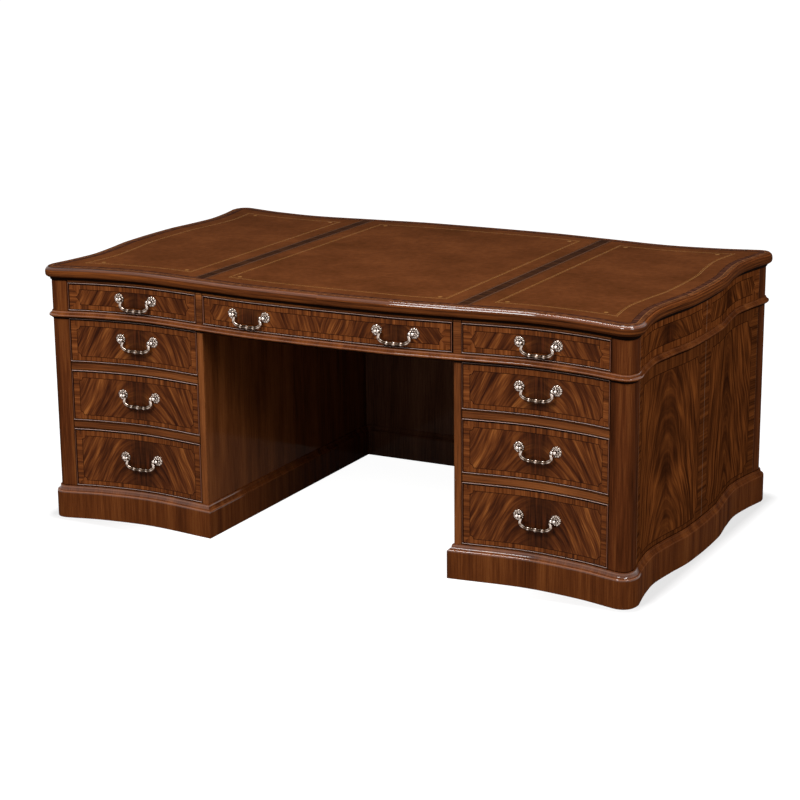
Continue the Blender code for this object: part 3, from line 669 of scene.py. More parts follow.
def crotch_colour(tree, aside, up, across, steep=2.7, bow=0.150, plume=(0.010, 0.058), depth=0.9,
                  streak=0.0090, seed=0.0, flame=FLAME):
    """The colour of crotch mahogany, from how far aside of the plume a place is and how far up."""
    here = add(tree, "CombineXYZ", across, up, seed)
    drift = add(tree, "TexNoise", {"Vector": here, "Scale": 6.0, "Detail": 1.0})
    drift = add(tree, "MapRange", drift, 0.3, 0.7, -0.011, 0.011, clamp=False)
    off = add(tree, "Math ADD", add(tree, "Math ABSOLUTE", aside), drift)
    bowed = add(tree, "VectorMath LENGTH", add(tree, "CombineXYZ", off, bow), give="Value")
    size = math.hypot(steep, 1)
    arch = add(tree, "Math MULTIPLY_ADD", bowed, steep / size, add(tree, "Math MULTIPLY", up, 1 / size))
    along = add(tree, "Math SUBTRACT", off, up)
    plane = add(tree, "CombineXYZ", arch, along, add(tree, "Math MULTIPLY_ADD", across, 1.5, seed))
    fine = streaks(tree, plane, 0.0026, 0.09, 3.0, seed + 5.0)
    mixed = add(tree, "Mix", {"Factor": 0.34, "A": streaks(tree, plane, streak, 0.20, 2.0, seed), "B": fine})
    bright = add(tree, "ValToRGB", mixed, stops=flame)
    heart = streaks(tree, here, 0.006, 0.12, 3.0, seed + 9.0)
    core = add(tree, "ValToRGB", heart, stops=((0.35, "#251008"), (0.55, "#40200f"), (0.72, "#5c2b15")))
    width = add(tree, "Math MULTIPLY_ADD", up, 0.10, plume[1])
    share = add(tree, "MapRange", {"Value": off, "From Min": plume[0], "From Max": width, "To Min": depth,
                                   "To Max": 0.0}, interpolation_type="SMOOTHSTEP")
    return add(tree, "Mix", {0: share, 6: bright, 7: core}, **COLOURS), fine


print("flame of", len(FLAME), "tones")

# %% [markdown]
# Round each field of crotch runs a dark line of stringing, and outside it a crossbanding whose short grain
# stands square to the edge, mitred at the corners. All three come from one measure: how far a place lies
# inside the edge of the panel. The field's corners are cut in by a small quarter round, and the fields of the
# frieze end in a little bracket point instead. A cock bead gets a painted highlight on its crest, paler on its
# level runs than on its ends, and painted shade in its quirk and in the gap round the front. Where two sheets
# meet, a thin light line runs along the joint.

# %% Inlay a panel
POINT_TALL, POINT_CURVE, POINT_LONG = 0.0155, 0.62, 0.014
FRIEZE_END, FRIEZE_EDGE = 0.025, 0.0200


def field_of(tree, up, tall, from_end, bracket, borders, lower, notch):
    """How far inside the stringing a place lies, and how far inside the panel's long edges."""
    from_middle = apart(tree, up, tall / 2)
    from_edge = add(tree, "Math SUBTRACT", tall / 2, from_middle)
    if bracket:
        share = add(tree, "Math DIVIDE", from_middle, POINT_TALL, use_clamp=True)
        point = add(tree, "Math POWER", share, POINT_CURVE)
        shoulder = add(tree, "Math MULTIPLY_ADD", point, POINT_LONG, FRIEZE_END)
        in_end = add(tree, "Math SUBTRACT", from_end, shoulder)
        in_edge = add(tree, "Math SUBTRACT", from_edge, FRIEZE_EDGE)
        return add(tree, "Math MINIMUM", in_edge, in_end), from_edge
    off = apart(tree, up, tall / 2 - lower)
    in_edge = add(tree, "Math SUBTRACT", tall / 2 - borders[1], off)
    in_end = add(tree, "Math SUBTRACT", from_end, borders[0])
    near = add(tree, "Math MINIMUM", in_end, in_edge)
    corner = add(tree, "VectorMath LENGTH", add(tree, "CombineXYZ", in_end, in_edge), give="Value")
    corner = add(tree, "Math SUBTRACT", corner, notch)
    return add(tree, "Math MINIMUM", near, corner), from_edge


def inlaid(name, half, foot, tall, fork=0.0, sheets=1, bracket=False, borders=(0.0245, 0.0205), lower=0.0,
           notch=0.0105, bead=0.0, seed=0.0, coat=0.03, shade=(), band=("#3d1e0e", "#6c3818", "#925328"), **figure):
    """A panel's veneer: crotch fields, stringing and crossbanding, on the unrolled map of the piece.

    The borders are those at the ends and along the edges. The field sits lower than the middle by a given step.
    """
    material, tree = new_material(name)
    across, level = place_on(tree)
    up = add(tree, "Math SUBTRACT", level, foot)
    wide = 2 * half / sheets
    slid = add(tree, "Math FLOORED_MODULO", add(tree, "Math", across, half), wide)
    sheet = add(tree, "Math SUBTRACT", slid, wide / 2)
    from_plume = add(tree, "Math ABSOLUTE", sheet)
    from_end = add(tree, "Math SUBTRACT", wide / 2, from_plume)
    field, from_edge = field_of(tree, up, tall, from_end, bracket, borders, lower, notch)
    aside = add(tree, "Math SUBTRACT", from_plume, fork) if fork else sheet
    crotch, relief = crotch_colour(tree, aside, up, across, seed=seed, **figure)

    at_end = add(tree, "Math LESS_THAN", from_edge, from_end)
    plane = add(tree, "Mix", {0: at_end, 4: add(tree, "CombineXYZ", level, across, 0.0),
                              5: add(tree, "CombineXYZ", across, level, 0.0)}, data_type="VECTOR", give=1)
    banding, _ = straight_colour(tree, plane, band, 0.010, seed)
    inside = add(tree, "Math GREATER_THAN", field, 0.0)
    colour = add(tree, "Mix", {0: inside, 6: banding, 7: crotch}, **COLOURS)
    colour = lined(tree, colour, field, 0.0, 0.0005, "#1a0b05")
    if bead:
        # Painted highlight on the bead's crest, paler on its level runs, which face the light from above; painted
        # shade in the quirk inside the bead and in the gap round the front.
        rim = add(tree, "Math MINIMUM", from_end, from_edge)
        crest = add(tree, "Mix", {0: at_end, 6: linear("#7e4f3a"), 7: linear("#b8998d")}, **COLOURS)
        within = add(tree, "MapRange", rim, bead, bead + 0.0004, 1.0, 0.0)
        past = add(tree, "MapRange", rim, -0.0010, -0.0006, 0.0, within)
        colour = add(tree, "Mix", {0: past, 6: colour, 7: crest}, **COLOURS)
        colour = lined(tree, colour, rim, bead + 0.0012, 0.0012, "#120805", 0.95)
        colour = lined(tree, colour, rim, 0.0, 0.0007, "#0d0603")
    # A thin light line along the joint of two sheets.
    if sheets > 1:
        colour = lined(tree, colour, from_end, 0.0, 0.0006, "#a8876c", 0.5)
    return lacquered(material, in_shadow(tree, colour, *shade), relief, coat)


# Crotch mahogany of the drawer fronts. A row is the level of its opening's foot and the front's height.
CLEAR, BEAD = 0.001, 0.0034
ROWS = {"frieze": (0.6502, 0.0862), "upper": (0.4920, 0.1345), "middle": (0.3083, 0.1580),
        "lower": (0.1004, 0.1822)}
BANK_HALF, CENTRE_HALF, PULL_PLACE = 0.2255, 0.4055, 0.237
veneers = {}
for row, seed in (("upper", 1.0), ("middle", 2.3), ("lower", 4.1), ("frieze", 5.2)):
    foot, tall = ROWS[row]
    veneers[row] = inlaid(f"crotch_mahogany_{row}_drawers", BANK_HALF, foot + CLEAR, tall, lower=0.0018,
                          bead=BEAD, bracket=row == "frieze", seed=seed)
veneers["centre"] = inlaid("crotch_mahogany_centre_drawer", CENTRE_HALF, foot + CLEAR, tall, PULL_PLACE,
                           bracket=True, bead=BEAD, seed=6.6)
print("drawer veneers", list(veneers))

# %% [markdown]
# ## The top
#
# The top of such a desk is a frame moulded on its edge, with a crossbanded border and two crossbanded
# strips between the leathers. The edge is a thumb moulding over a hollow and a fillet. The ring below is
# one sweep: up the moulding, over the border, down the wall of the leather's recess and back below. The
# inner loops come from the line with sharp corners, because leather is cut with square corners.

# %% Band the border and the strips
# Mahogany crossbanding of the top's edge and border. On the map, the way over the edge counts up from the
# floor: first the moulding, then the pale band, and inside a light line the dark one, up to the leather.
border_veneer, tree = new_material("mahogany_top_border")
round_it, over = place_on(tree)
nose, _ = straight_colour(tree, add(tree, "CombineXYZ", over, round_it), ("#221007", "#5c3016", "#84491f"),
                          0.007, 2.0)
plane = add(tree, "CombineXYZ", round_it, over)
light, _ = straight_colour(tree, plane, ("#33190d", "#53301a", "#6d4225"), 0.012, 4.0)
dark, relief = straight_colour(tree, plane, ("#26140e", "#3f2318", "#5b3422"), 0.015, 6.0)
colour = nose
for level, band in ((0.7775, light), (0.7890, dark)):
    past = add(tree, "Math GREATER_THAN", over, level)
    colour = add(tree, "Mix", {0: past, 6: colour, 7: band}, **COLOURS)
for level, tone in ((0.7890, "#8a5a34"), (0.8062, "#1b0e08")):
    colour = lined(tree, colour, over, level, 0.0003, tone)
# Painted shade under the nose of the top.
colour = in_shadow(tree, colour, (0.7440, 0.7548))
lacquered(border_veneer, colour, relief, polished(tree, (0.7765, 0.7840)))

# Dark mahogany crossbanding of the two strips, each with a worn edge and a greyish line along it.
STRIP_IN, STRIP_OUT = 0.4015, 0.4475
strip_veneer, tree = new_material("mahogany_top_strips")
x, y = place_on(tree, "XY")
colour, relief = straight_colour(tree, add(tree, "CombineXYZ", y, x), ("#22120a", "#311b0e", "#3f2413"),
                                 0.015, 8.0)
off = apart(tree, add(tree, "Math ABSOLUTE", x), (STRIP_IN + STRIP_OUT) / 2)
wear_and_painted_sheen = add(tree, "MapRange", off, 0.0145, 0.0165, 0.0, 0.25)
colour = add(tree, "Mix", {0: wear_and_painted_sheen, 6: colour, 7: linear("#7a4a2a")}, **COLOURS)
lacquered(strip_veneer, lined(tree, colour, off, 0.0158, 0.0003, "#58443c"), relief, 0.01)
print("border and strips banded")

# %% [markdown]
# A router would run this edge with two cutters. Here the section is written in shares of its reach and
# height, its round parts are smoothed, and the sweep lays it round the whole template. The bed that the
# leathers are glued to and the two strips are plain boards inside it.

# %% Mould the top
TOP_UNDERSIDE, HEIGHT = 0.7455, 0.785
NOSE, BORDER, SINK = 0.0183, 0.040, 0.0023


def levels(profile, reach, low, high):
    """A profile in shares turned into offsets and levels."""
    return [(out * reach, low + up * (high - low)) for out, up in profile]


hollow = [(0.20, 0.0), (0.22, 0.05)] + through([(0.23, 0.07), (0.30, 0.14), (0.42, 0.19), (0.58, 0.215)], 3)
thumb = through([(0.66, 0.245), (0.84, 0.285), (0.96, 0.38), (1.0, 0.50), (0.985, 0.64), (0.92, 0.775),
                 (0.80, 0.875), (0.66, 0.925)], 3)
edge = hollow + [(0.64, 0.22)] + thumb + [(0.57, 0.936), (0.55, 0.945), (0.53, 0.972), (0.51, 0.990), (0.44, 1.0)]
section = levels(edge, NOSE, TOP_UNDERSIDE, HEIGHT)
lines = [(face_loop(out), level) for out, level in section]
inner = face_loop(NOSE - BORDER, False)
lines += [(inner, HEIGHT), (inner, HEIGHT - SINK), (inner, TOP_UNDERSIDE)]
finish_piece("top_moulding", swept(lines), border_veneer, ["top_board"])

bed = face_loop(NOSE - BORDER + 0.0005, False)
finish_piece("top_bed", board(bed, TOP_UNDERSIDE, HEIGHT - SINK), flat_mahogany)
for side, name in ((-1, "left"), (1, "right")):
    low, high = sorted((side * STRIP_IN, side * STRIP_OUT))
    plan = front_between(low, high, NOSE - BORDER) + back_between(low, high, NOSE - BORDER)[::-1]
    finish_piece(f"top_strip_{name}", board(plan, HEIGHT - SINK - 0.001, HEIGHT, 0.0004), strip_veneer)
print("top reaches", round(max(p.x for p in face_loop(NOSE)), 4))

# %% [markdown]
# ## Waist moulding and plinths
#
# Where the frieze sits on the pedestals a small moulding hides the joint: a cove above a rounded nose. Each
# pedestal stands in a plinth, a flat face with a thumb and cove along its top, mitred right round.

# %% Sweep the waist moulding and the plinths
FRIEZE_FOOT, FRIEZE_FLOOR, WAIST = 0.6288, 0.6502, 0.012
KNEE, PLINTH, PLINTH_TALL, PLINTH_LEDGE = 0.409, 0.0155, 0.100, 0.0785
WAIST_BACK, PLINTH_BACK, REBATE = -0.0078, -0.018, 0.0004
waist = ([(0.35, 0.0), (0.35, 0.17), (0.62, 0.19)]
         + through([(0.84, 0.20), (0.98, 0.30), (1.0, 0.41), (0.94, 0.52), (0.80, 0.57)], 3)
         + through([(0.74, 0.59), (0.52, 0.66), (0.38, 0.78), (0.30, 0.94)], 3) + [(0.02, 1.0)])
section = levels(waist, WAIST, FRIEZE_FOOT, FRIEZE_FLOOR)
section += [(WAIST_BACK, FRIEZE_FLOOR), (WAIST_BACK, FRIEZE_FOOT)]
rings = [(face_loop(out), level) for out, level in section]
finish_piece("waist_bead", swept(rings), moulded_mahogany, ["waist_moulding"])

plinth = ([(0.97, 0.0), (1.0, 0.015), (1.0, 0.79)] + through([(0.985, 0.805), (0.95, 0.83), (0.88, 0.845)], 2)
          + [(0.74, 0.85), (0.72, 0.862)]
          + through([(0.70, 0.865), (0.52, 0.885), (0.38, 0.925), (0.31, 0.985)], 3) + [(0.20, 1.0)])
section = levels(plinth, PLINTH, 0.0, PLINTH_TALL)
section += [(REBATE, PLINTH_TALL), (REBATE, PLINTH_LEDGE), (PLINTH_BACK, PLINTH_LEDGE), (PLINTH_BACK, 0.0)]
pedestal = stretch_of(right_half(), (0, KNEE), (0, KNEE))
for side, name in ((-1, "left"), (1, "right")):
    rings = [(flipped(shifted(pedestal, out), side), level) for out, level in section]
    finish_piece(f"{name}_plinth_moulding", swept(rings), moulded_mahogany, [f"{name}_plinth"])
print("plinth line of", len(pedestal), "points")

# %% [markdown]
# ## Posts, sides and backs
#
# The corner posts are solid, rounded in plan where the front turns into the side. Between them stand the
# veneered sides and the back. All are boards on the same template, so their faces meet flush, and only a
# fine joint shows.

# %% Measure the panels and lay their veneer
INNER, OUTER, CENTRE = 0.4315, 0.8765, 0.4061
FOOT, PEDESTAL_TOP, GAP = 0.0788, 0.6285, 0.0003
FRIEZE_TOP, FRIEZE_OPENING = 0.7452, 0.7384
SIDE_THICK, BACK_THICK, TOP_RAIL_DEEP = 0.020, 0.018, 0.060
RAIL_DEEP, RAIL_TALL, DUST_BOARD = 0.045, 0.0237, 0.010
frieze_foot = FRIEZE_FLOOR + GAP
post_depth = quarter_line()[FRONT_STEPS + CORNER_STEPS].y + 0.030
post = stretch_of(right_half(), (0, OUTER), (1, post_depth)) + [Vector((OUTER, post_depth))]
ends = (post_depth + GAP, -post_depth - GAP)
outer_side = side_between(*ends) + side_between(*ends, -SIDE_THICK)[::-1]


def middle_and_half(points):
    """The middle place of a line on the face line, and half its length."""
    (start, _), (stop, _) = unrolled([points[0].to_tuple(), points[-1].to_tuple()])
    return (start + stop) / 2, abs(stop - start) / 2


# Softer crotch veneer: two sheets to a side, one to a pedestal's back, and bracketed fields on the frieze.
SOFT_FLAME = ((0.34, "#34190b"), (0.46, "#522a12"), (0.57, "#743e1b"), (0.70, "#9b5827"))
# Painted shade under the waist, under the top and above the plinths, on all these panels.
plain = {"coat": 0.0, "shade": SHADES, "flame": SOFT_FLAME}
tall_panel = {"foot": FOOT, "tall": PEDESTAL_TOP - FOOT, "borders": (0.036, 0.036), "notch": 0.025, "steep": 6.5,
              "bow": 0.140, "plume": (0.006, 0.075), "depth": 0.45, "streak": 0.0070,
              "band": ("#34190b", "#5c3015", "#77411d"), **plain}
frieze_panel = {"foot": frieze_foot, "tall": FRIEZE_TOP - frieze_foot, "bracket": True, **plain}
side_half = middle_and_half(side_between(*ends))[1]
back_half = middle_and_half(back_between(INNER + GAP, OUTER - GAP))[1]
frieze_half = middle_and_half(back_between(-OUTER, OUTER))[1]
side_veneer = inlaid("crotch_mahogany_sides", side_half, sheets=2, seed=7.7, **tall_panel)
back_veneer = inlaid("crotch_mahogany_backs", back_half, seed=9.1, **tall_panel)
frieze_side_veneer = inlaid("crotch_mahogany_frieze_sides", side_half, sheets=2, seed=11.3, **frieze_panel)
frieze_back_veneer = inlaid("crotch_mahogany_frieze_back", frieze_half, sheets=4, seed=13.9, **frieze_panel)
print("side panels", round(side_half * 2, 3), "m long, frieze back", round(frieze_half * 2, 3), "m")

# %% [markdown]
# Each board is pushed up from a stretch of the template. The veneered ones get a map that counts from their
# own middle, so that the two sheets mirror each other there. The rails between the drawers are one piece
# with the dust boards behind them.

# %% Stand the posts, sides, backs and rails
for side, name in ((-1, "left"), (1, "right")):
    for end, where in ((1, "front"), (-1, "rear")):
        plan = flipped(post, side, end)
        finish_piece(f"{name}_{where}_corner", board(plan, FOOT, PEDESTAL_TOP, 0.0008), upright_mahogany,
                     [f"{name}_{where}_post"])
        finish_piece(f"{name}_{where}_frieze_corner", board(plan, frieze_foot, FRIEZE_TOP, 0.0008),
                     upright_mahogany)
    middle = middle_and_half(flipped(side_between(*ends), side))[0]
    finish_piece(f"{name}_side_panel", board(flipped(outer_side, side), FOOT, PEDESTAL_TOP, 0.0006),
                 side_veneer, [f"{name}_outer_side"], middle=middle)
    finish_piece(f"{name}_frieze_panel", board(flipped(outer_side, side), frieze_foot, FRIEZE_TOP, 0.0006),
                 frieze_side_veneer, [f"frieze_side_{name}"], middle=middle)
    low, high = INNER + GAP, OUTER - GAP
    plan = back_between(low, high) + back_between(low, high, -BACK_THICK)[::-1]
    middle = middle_and_half(flipped(back_between(low, high), side))[0]
    finish_piece(f"{name}_back_panel", board(flipped(plan, side), FOOT, PEDESTAL_TOP, 0.0006), back_veneer,
                 [f"{name}_back"], middle=middle)
    for where, row in (("lower", "middle"), ("upper", "upper")):
        level = ROWS[row][0]
        plan = front_between(low, high) + front_between(low, high, -RAIL_DEEP)[::-1]
        mesh = board(flipped(plan, side), level - RAIL_TALL, level, 0.0006)
        plan = front_between(low, high, 0.0002 - RAIL_DEEP) + back_between(low, high, -BACK_THICK - GAP)[::-1]
        board(flipped(plan, side), level - DUST_BOARD, level, 0.0, mesh)
        finish_piece(f"{name}_{where}_dust_board", mesh, level_mahogany, [f"{name}_{where}_rail"])

reach = OUTER - GAP
plan = back_between(-reach, reach) + back_between(-reach, reach, -BACK_THICK)[::-1]
finish_piece("frieze_back_panel", board(plan, frieze_foot, FRIEZE_TOP, 0.0006), frieze_back_veneer,
             ["frieze_back"], middle=ROUND / 2)
plan = front_between(-reach, reach) + front_between(-reach, reach, -TOP_RAIL_DEEP)[::-1]
mesh = board(plan, FRIEZE_OPENING, FRIEZE_TOP, 0.0005)
for low, high in ((CENTRE, INNER), (-INNER, -CENTRE)):
    plan = front_between(low, high) + back_between(low, high, -BACK_THICK - GAP)[::-1]
    board(plan, frieze_foot, FRIEZE_OPENING + 0.0001, 0.0, mesh)
finish_piece("frieze_rail", mesh, level_mahogany, ["frieze_frame"])
print("posts reach", round(post_depth, 4))

# %% [markdown]
# ## Drawer fronts
#
# Each drawer front is a serpentine board with a cock bead, a thin strip glued round its edge that stands
# a little proud. The board is pushed up on the template, its face is inset by the bead's width, the rim is
# pushed out, and its edges are rounded.

# %% Build the drawer fronts
FRONT_THICK, RISE = 0.017, 0.0022


def beaded_front(low, high, foot, tall):
    """A drawer front between two places across the desk, with its raised bead."""
    left, right = low + CLEAR, high - CLEAR
    plan = front_between(left, right) + front_between(left, right, -FRONT_THICK)[::-1]
    mesh = board(plan, foot + CLEAR, foot + CLEAR + tall)
    show = [f for f in mesh.faces if f.normal.y < -0.8]
    rim = bmesh.ops.inset_region(mesh, faces=show, thickness=BEAD, use_even_offset=True)["faces"]
    raised = bmesh.ops.extrude_face_region(mesh, geom=rim)["geom"]
    bmesh.ops.translate(mesh, vec=(0, -RISE, 0), verts=[v for v in raised if isinstance(v, bmesh.types.BMVert)])
    bmesh.ops.delete(mesh, geom=[f for f in rim if f.is_valid], context="FACES")
    bmesh.ops.recalc_face_normals(mesh, faces=mesh.faces)
    broken_edges(mesh, 0.0010, 3, 60)
    return mesh


def place_on_line(x):
    """How far round the line the front lies at a place across the desk."""
    return unrolled([front_between(x, OUTER)[0].to_tuple()])[0][0]


drawers = {f"{bank}_{row}_drawer": (sorted((side * INNER, side * OUTER)), row)
           for bank, side in (("left", -1), ("right", 1)) for row in ROWS}
drawers["centre_drawer"] = ([-CENTRE, CENTRE], "frieze")
for name, ((low, high), row) in drawers.items():
    foot, tall = ROWS[row]
    middle = (place_on_line(low + CLEAR) + place_on_line(high - CLEAR)) / 2 if name != "centre_drawer" else 0.0
    veneer = veneers["centre" if name == "centre_drawer" else row]
    piece = finish_piece(f"{name}_face", beaded_front(low, high, foot, tall), veneer, [f"{name}_front"], name,
                         middle)
    print(name, "half its length along the line", round(max(l.uv.x for l in piece.data.uv_layers[0].data), 4))

# %% [markdown]
# ## Tooled leather
#
# Writing leather is a thin hide, stained and polished, glued into its recess and tooled with gold leaf: a
# bold line and a fine one all round, and a small flower inside each corner. The lines keep their distance
# from the edge of the leather, curves and all. So each panel is made of rings set in from its edge, and
# each ring carries its distance in an attribute named tooling, which the gold then follows exactly. The
# grain of the hide is about a millimetre, finer than a pixel here, and shows as a soft sheen.

# %% Stain and tool the leather
# Brown writing leather: an aniline stain that clouds a little, and the fine pebble of the hide.
leather, tree = new_material("brown_tooled_leather")
place = add(tree, "TexCoord", give="Object")
cloud = add(tree, "TexNoise", {"Vector": place, "Scale": 6.0, "Detail": 4.0, "Roughness": 0.6})
spots = add(tree, "TexNoise", {"Vector": place, "Scale": 55.0, "Detail": 3.0})
hide = add(tree, "Mix", {"Factor": 0.35, "A": cloud, "B": spots})
stain = add(tree, "ValToRGB", hide, stops=((0.32, "#45230b"), (0.50, "#522b12"), (0.68, "#5f3418")))
pebble = add(tree, "TexVoronoi", {"Vector": place, "Scale": 750.0}, give="Distance")

# Gold leaf: the two lines, the flowers of the three corners on each quarter of the top, and the wear.
LINES = ((0.0480, 0.00060), (0.0530, 0.00030))
FLOWERS = ((0.8165, 0.4410), (0.5225, 0.4330), (0.3265, 0.4528))
inset = add(tree, "Attribute", attribute_name="tooling", give="Fac")
gold = 0.0
for middle, reach in LINES:
    gold = add(tree, "Math MAXIMUM", gold, close_to(tree, inset, middle, reach, soft=0.0005))
mirrored = add(tree, "VectorMath ABSOLUTE", place)
for x, y in FLOWERS:
    off = add(tree, "VectorMath SUBTRACT", mirrored, (x, y, HEIGHT))
    off = add(tree, "VectorMath LENGTH", off, give="Value")
    gold = add(tree, "Math MAXIMUM", gold, add(tree, "MapRange", off, 0.0058, 0.0072, 0.8, 0.0))
rubbed = add(tree, "TexNoise", {"Vector": place, "Scale": 240.0, "Detail": 2.0})
rubbed = add(tree, "MapRange", rubbed, 0.35, 0.60, 0.55, 1.0)
gold = add(tree, "Math MULTIPLY", gold, rubbed)
colour = add(tree, "Mix", {0: gold, 6: stain, 7: linear("#8e622b")}, **COLOURS)
relief = add(tree, "Bump", {"Height": pebble, "Distance": 0.00012, "Strength": 0.5})
gloss = add(tree, "MapRange", gold, 0.0, 1.0, 0.50, 0.30)
metal = add(tree, "Math MULTIPLY", gold, 0.15)
skin = add(tree, "BsdfPrincipled", {"Base Color": colour, "Roughness": gloss, "Normal": relief, "Metallic": metal,
                                    "Specular IOR Level": 0.0, "Coat Weight": 0.02, "Coat Roughness": 0.35})
add(tree, "OutputMaterial", skin)
print("leather stained")

# %% [markdown]
# A solidified plane would do for a flat panel, but not for lines that run even with a curved edge. Each ring
# below is the outline set in by a further step, with as many points as the last, so the rings can be joined
# like the loops of a sweep. The edge is turned down a little, as pared leather is.

# %% Lay the leathers
def resampled(points, count):
    """A line cut into even runs."""
    places = np.array([p.to_tuple() for p in points])
    run = np.concatenate([[0], np.cumsum(np.hypot(*np.diff(places, axis=0).T))])
    wanted = np.linspace(0, run[-1], count + 1)
    return [Vector(p) for p in zip(np.interp(wanted, run, places[:, 0]), np.interp(wanted, run, places[:, 1]))]


def inner_edges(distance):
    """The front and right edges at a distance from the face line, cut off where they meet."""
    quarter = quarter_line(False)
    corner = FRONT_STEPS + 1
    front = shifted(quarter[:corner + 1], distance, False)
    side = shifted(quarter[corner:] + flipped(quarter[-2:corner - 1:-1], end=-1), distance, False)
    for i in range(len(front) - 1, 0, -1):
        for j in range(len(side) // 2):
            meeting = intersect_line_line_2d(front[i - 1], front[i], side[j], side[j + 1])
            if meeting:
                half = [meeting] + side[j + 1:len(side) // 2 + 1]
                return front[:i] + [meeting], half + flipped(half[-2::-1], end=-1)


def leather_ring(centre, inset):
    """The outline of a leather at a distance in from its edge, always with as many points."""
    line = NOSE - BORDER - inset
    front, side = inner_edges(line)
    if centre:
        x = STRIP_IN - inset
        front = resampled(front_between(-x, x, line), 60)
        side = resampled(front[-1:] + flipped(front[-1:], end=-1), 16)
    else:
        front = resampled(stretch_of(front, (0, STRIP_OUT + inset), (0, front[-1].x)), 32)
        side = resampled(side, 72)
    back = flipped(front[::-1], end=-1)
    return front + side[1:-1] + back + resampled([back[-1], front[0]], 16)[1:-1]


INSETS = (0.0, 0.0, 0.0006, 0.0020, 0.0400, 0.0460, 0.0500, 0.0560, 0.0700)
DROPS = (0.0020, 0.0006, 0.0002, 0.0, 0.0, 0.0, 0.0, 0.0, 0.0)
for name, side in (("left", -1), ("centre", 0), ("right", 1)):
    rings = [flipped(leather_ring(side == 0, GAP + inset), side or 1) for inset in INSETS]
    mesh = swept([(ring, HEIGHT - drop) for ring, drop in zip(rings, DROPS)], closed_section=False)
    layer = mesh.verts.layers.float.new("tooling")
    for i, vert in enumerate(mesh.verts):
        vert[layer] = INSETS[min(i // len(rings[0]), len(INSETS) - 1)]
    bmesh.ops.holes_fill(mesh, edges=[e for e in mesh.edges if e.is_boundary])
    finish_piece(f"leather_panel_{name}", mesh, leather, [f"leather_{name}"],
                 grained=False)
print("leathers laid, gold line", round(INSETS[5] * 1000), "to", round(INSETS[6] * 1000), "mm in")

# %% [markdown]
# ## Old brass
#
# The pulls are cast brass, chased and then lacquered over a dark toning, so the high places shine pale and
# the hollows stay brown. Brass is a metal, so its colour sits in the reflection. Each vertex of a pull
# carries how deep it lies, in an attribute named hollow, and the toning follows that.

# %% Tone the brass
# Antique lacquered brass: pale on the high places, brown in the hollows, a little mottled all over.
brass, tree = new_material("antique_lacquered_brass")
depth = add(tree, "Attribute", attribute_name="hollow", give="Fac")
place = add(tree, "TexCoord", give="Object")
mottle = add(tree, "TexNoise", {"Vector": place, "Scale": 420.0, "Detail": 3.0})
uneven = add(tree, "MapRange", {"Value": mottle, "To Min": -0.16, "To Max": 0.16})
depth = add(tree, "Math ADD", depth, uneven, use_clamp=True)
colour = add(tree, "ValToRGB", {"Fac": depth}, stops=((0.08, "#ddd0c6"), (0.36, "#77604f"), (0.66, "#140c08")))
gloss = add(tree, "MapRange", {"Value": depth, "To Min": 0.16, "To Max": 0.50})
relief = add(tree, "Bump", {"Height": mottle, "Distance": 0.0001, "Strength": 0.6})
metal = add(tree, "BsdfPrincipled", {"Base Color": colour, "Roughness": gloss, "Metallic": 1.0, "Normal": relief})
add(tree, "OutputMaterial", metal)
print("brass toned")

# %% [markdown]
# ## The pulls
#
# A swan-neck pull is two cast roses, each with a ball on a short post, and a bail whose pins turn in the
# balls. A rose has two rings of petals: each petal is a ball flattened and pressed into place. The bail
# is a round bar of changing thickness. A bevelled curve could give it, but the pins, knuckles and the three
# swellings on the grip want their own radius, so circles are set along a smooth run and bridged.

# %% Cast a rose and a bail about the hinge
BORING, POST_REACH, BALL = 0.114, 0.012, 0.0052
FRIEZE_LIFT, PEDESTAL_LIFT = 0.004, 0.014


def set_hollow(mesh, verts, depth):
    """Writes how deep vertices lie, from 0 (worn bright) to 1 (dark), by a function of the vertex."""
    layer = mesh.verts.layers.float["hollow"]
    for vert in verts:
        vert[layer] = min(max(depth(vert.co), 0.0), 1.0)


def turned(mesh, profile, depth, steps=32):
    """Turns a profile of (radius, reach forward) about the post's axis."""
    verts = [mesh.verts.new((radius, -out, 0)) for radius, out in profile]
    edges = [mesh.edges.new(pair) for pair in zip(verts, verts[1:])]
    before = set(mesh.verts)
    bmesh.ops.spin(mesh, geom=verts + edges, axis=(0, 1, 0), cent=(0, 0, 0), dvec=(0, 0, 0), angle=math.tau,
                   steps=steps, use_merge=True)
    made = verts + [v for v in mesh.verts if v not in before]
    set_hollow(mesh, made, depth)


def petals(mesh, count, middle, size, lift, start):
    """A ring of petals: flattened balls at a distance from the middle, each with a vein down it."""
    wide, long, thick = size
    for k in range(count):
        made = bmesh.ops.create_uvsphere(mesh, u_segments=14, v_segments=9, radius=1.0)["verts"]
        for vert in made:
            x, y, z = vert.co
            vein = 0.30 * math.exp(-(x / 0.22) ** 2) * max(0.0, -y)
            vert.co = (x * wide * (1 + 0.25 * z), y * thick + vein * thick, z * long)
        set_hollow(mesh, made, lambda p: 0.85 + p.y / thick * 0.95 + 0.4 * math.exp(-(p.x / wide / 0.2) ** 2))
        turn = Matrix.Rotation(start + math.tau * k / count, 4, "Y")
        move = turn @ Matrix.Translation((0, -lift, middle)) @ Matrix.Rotation(math.radians(-16), 4, "X")
        bmesh.ops.transform(mesh, matrix=move, verts=made)


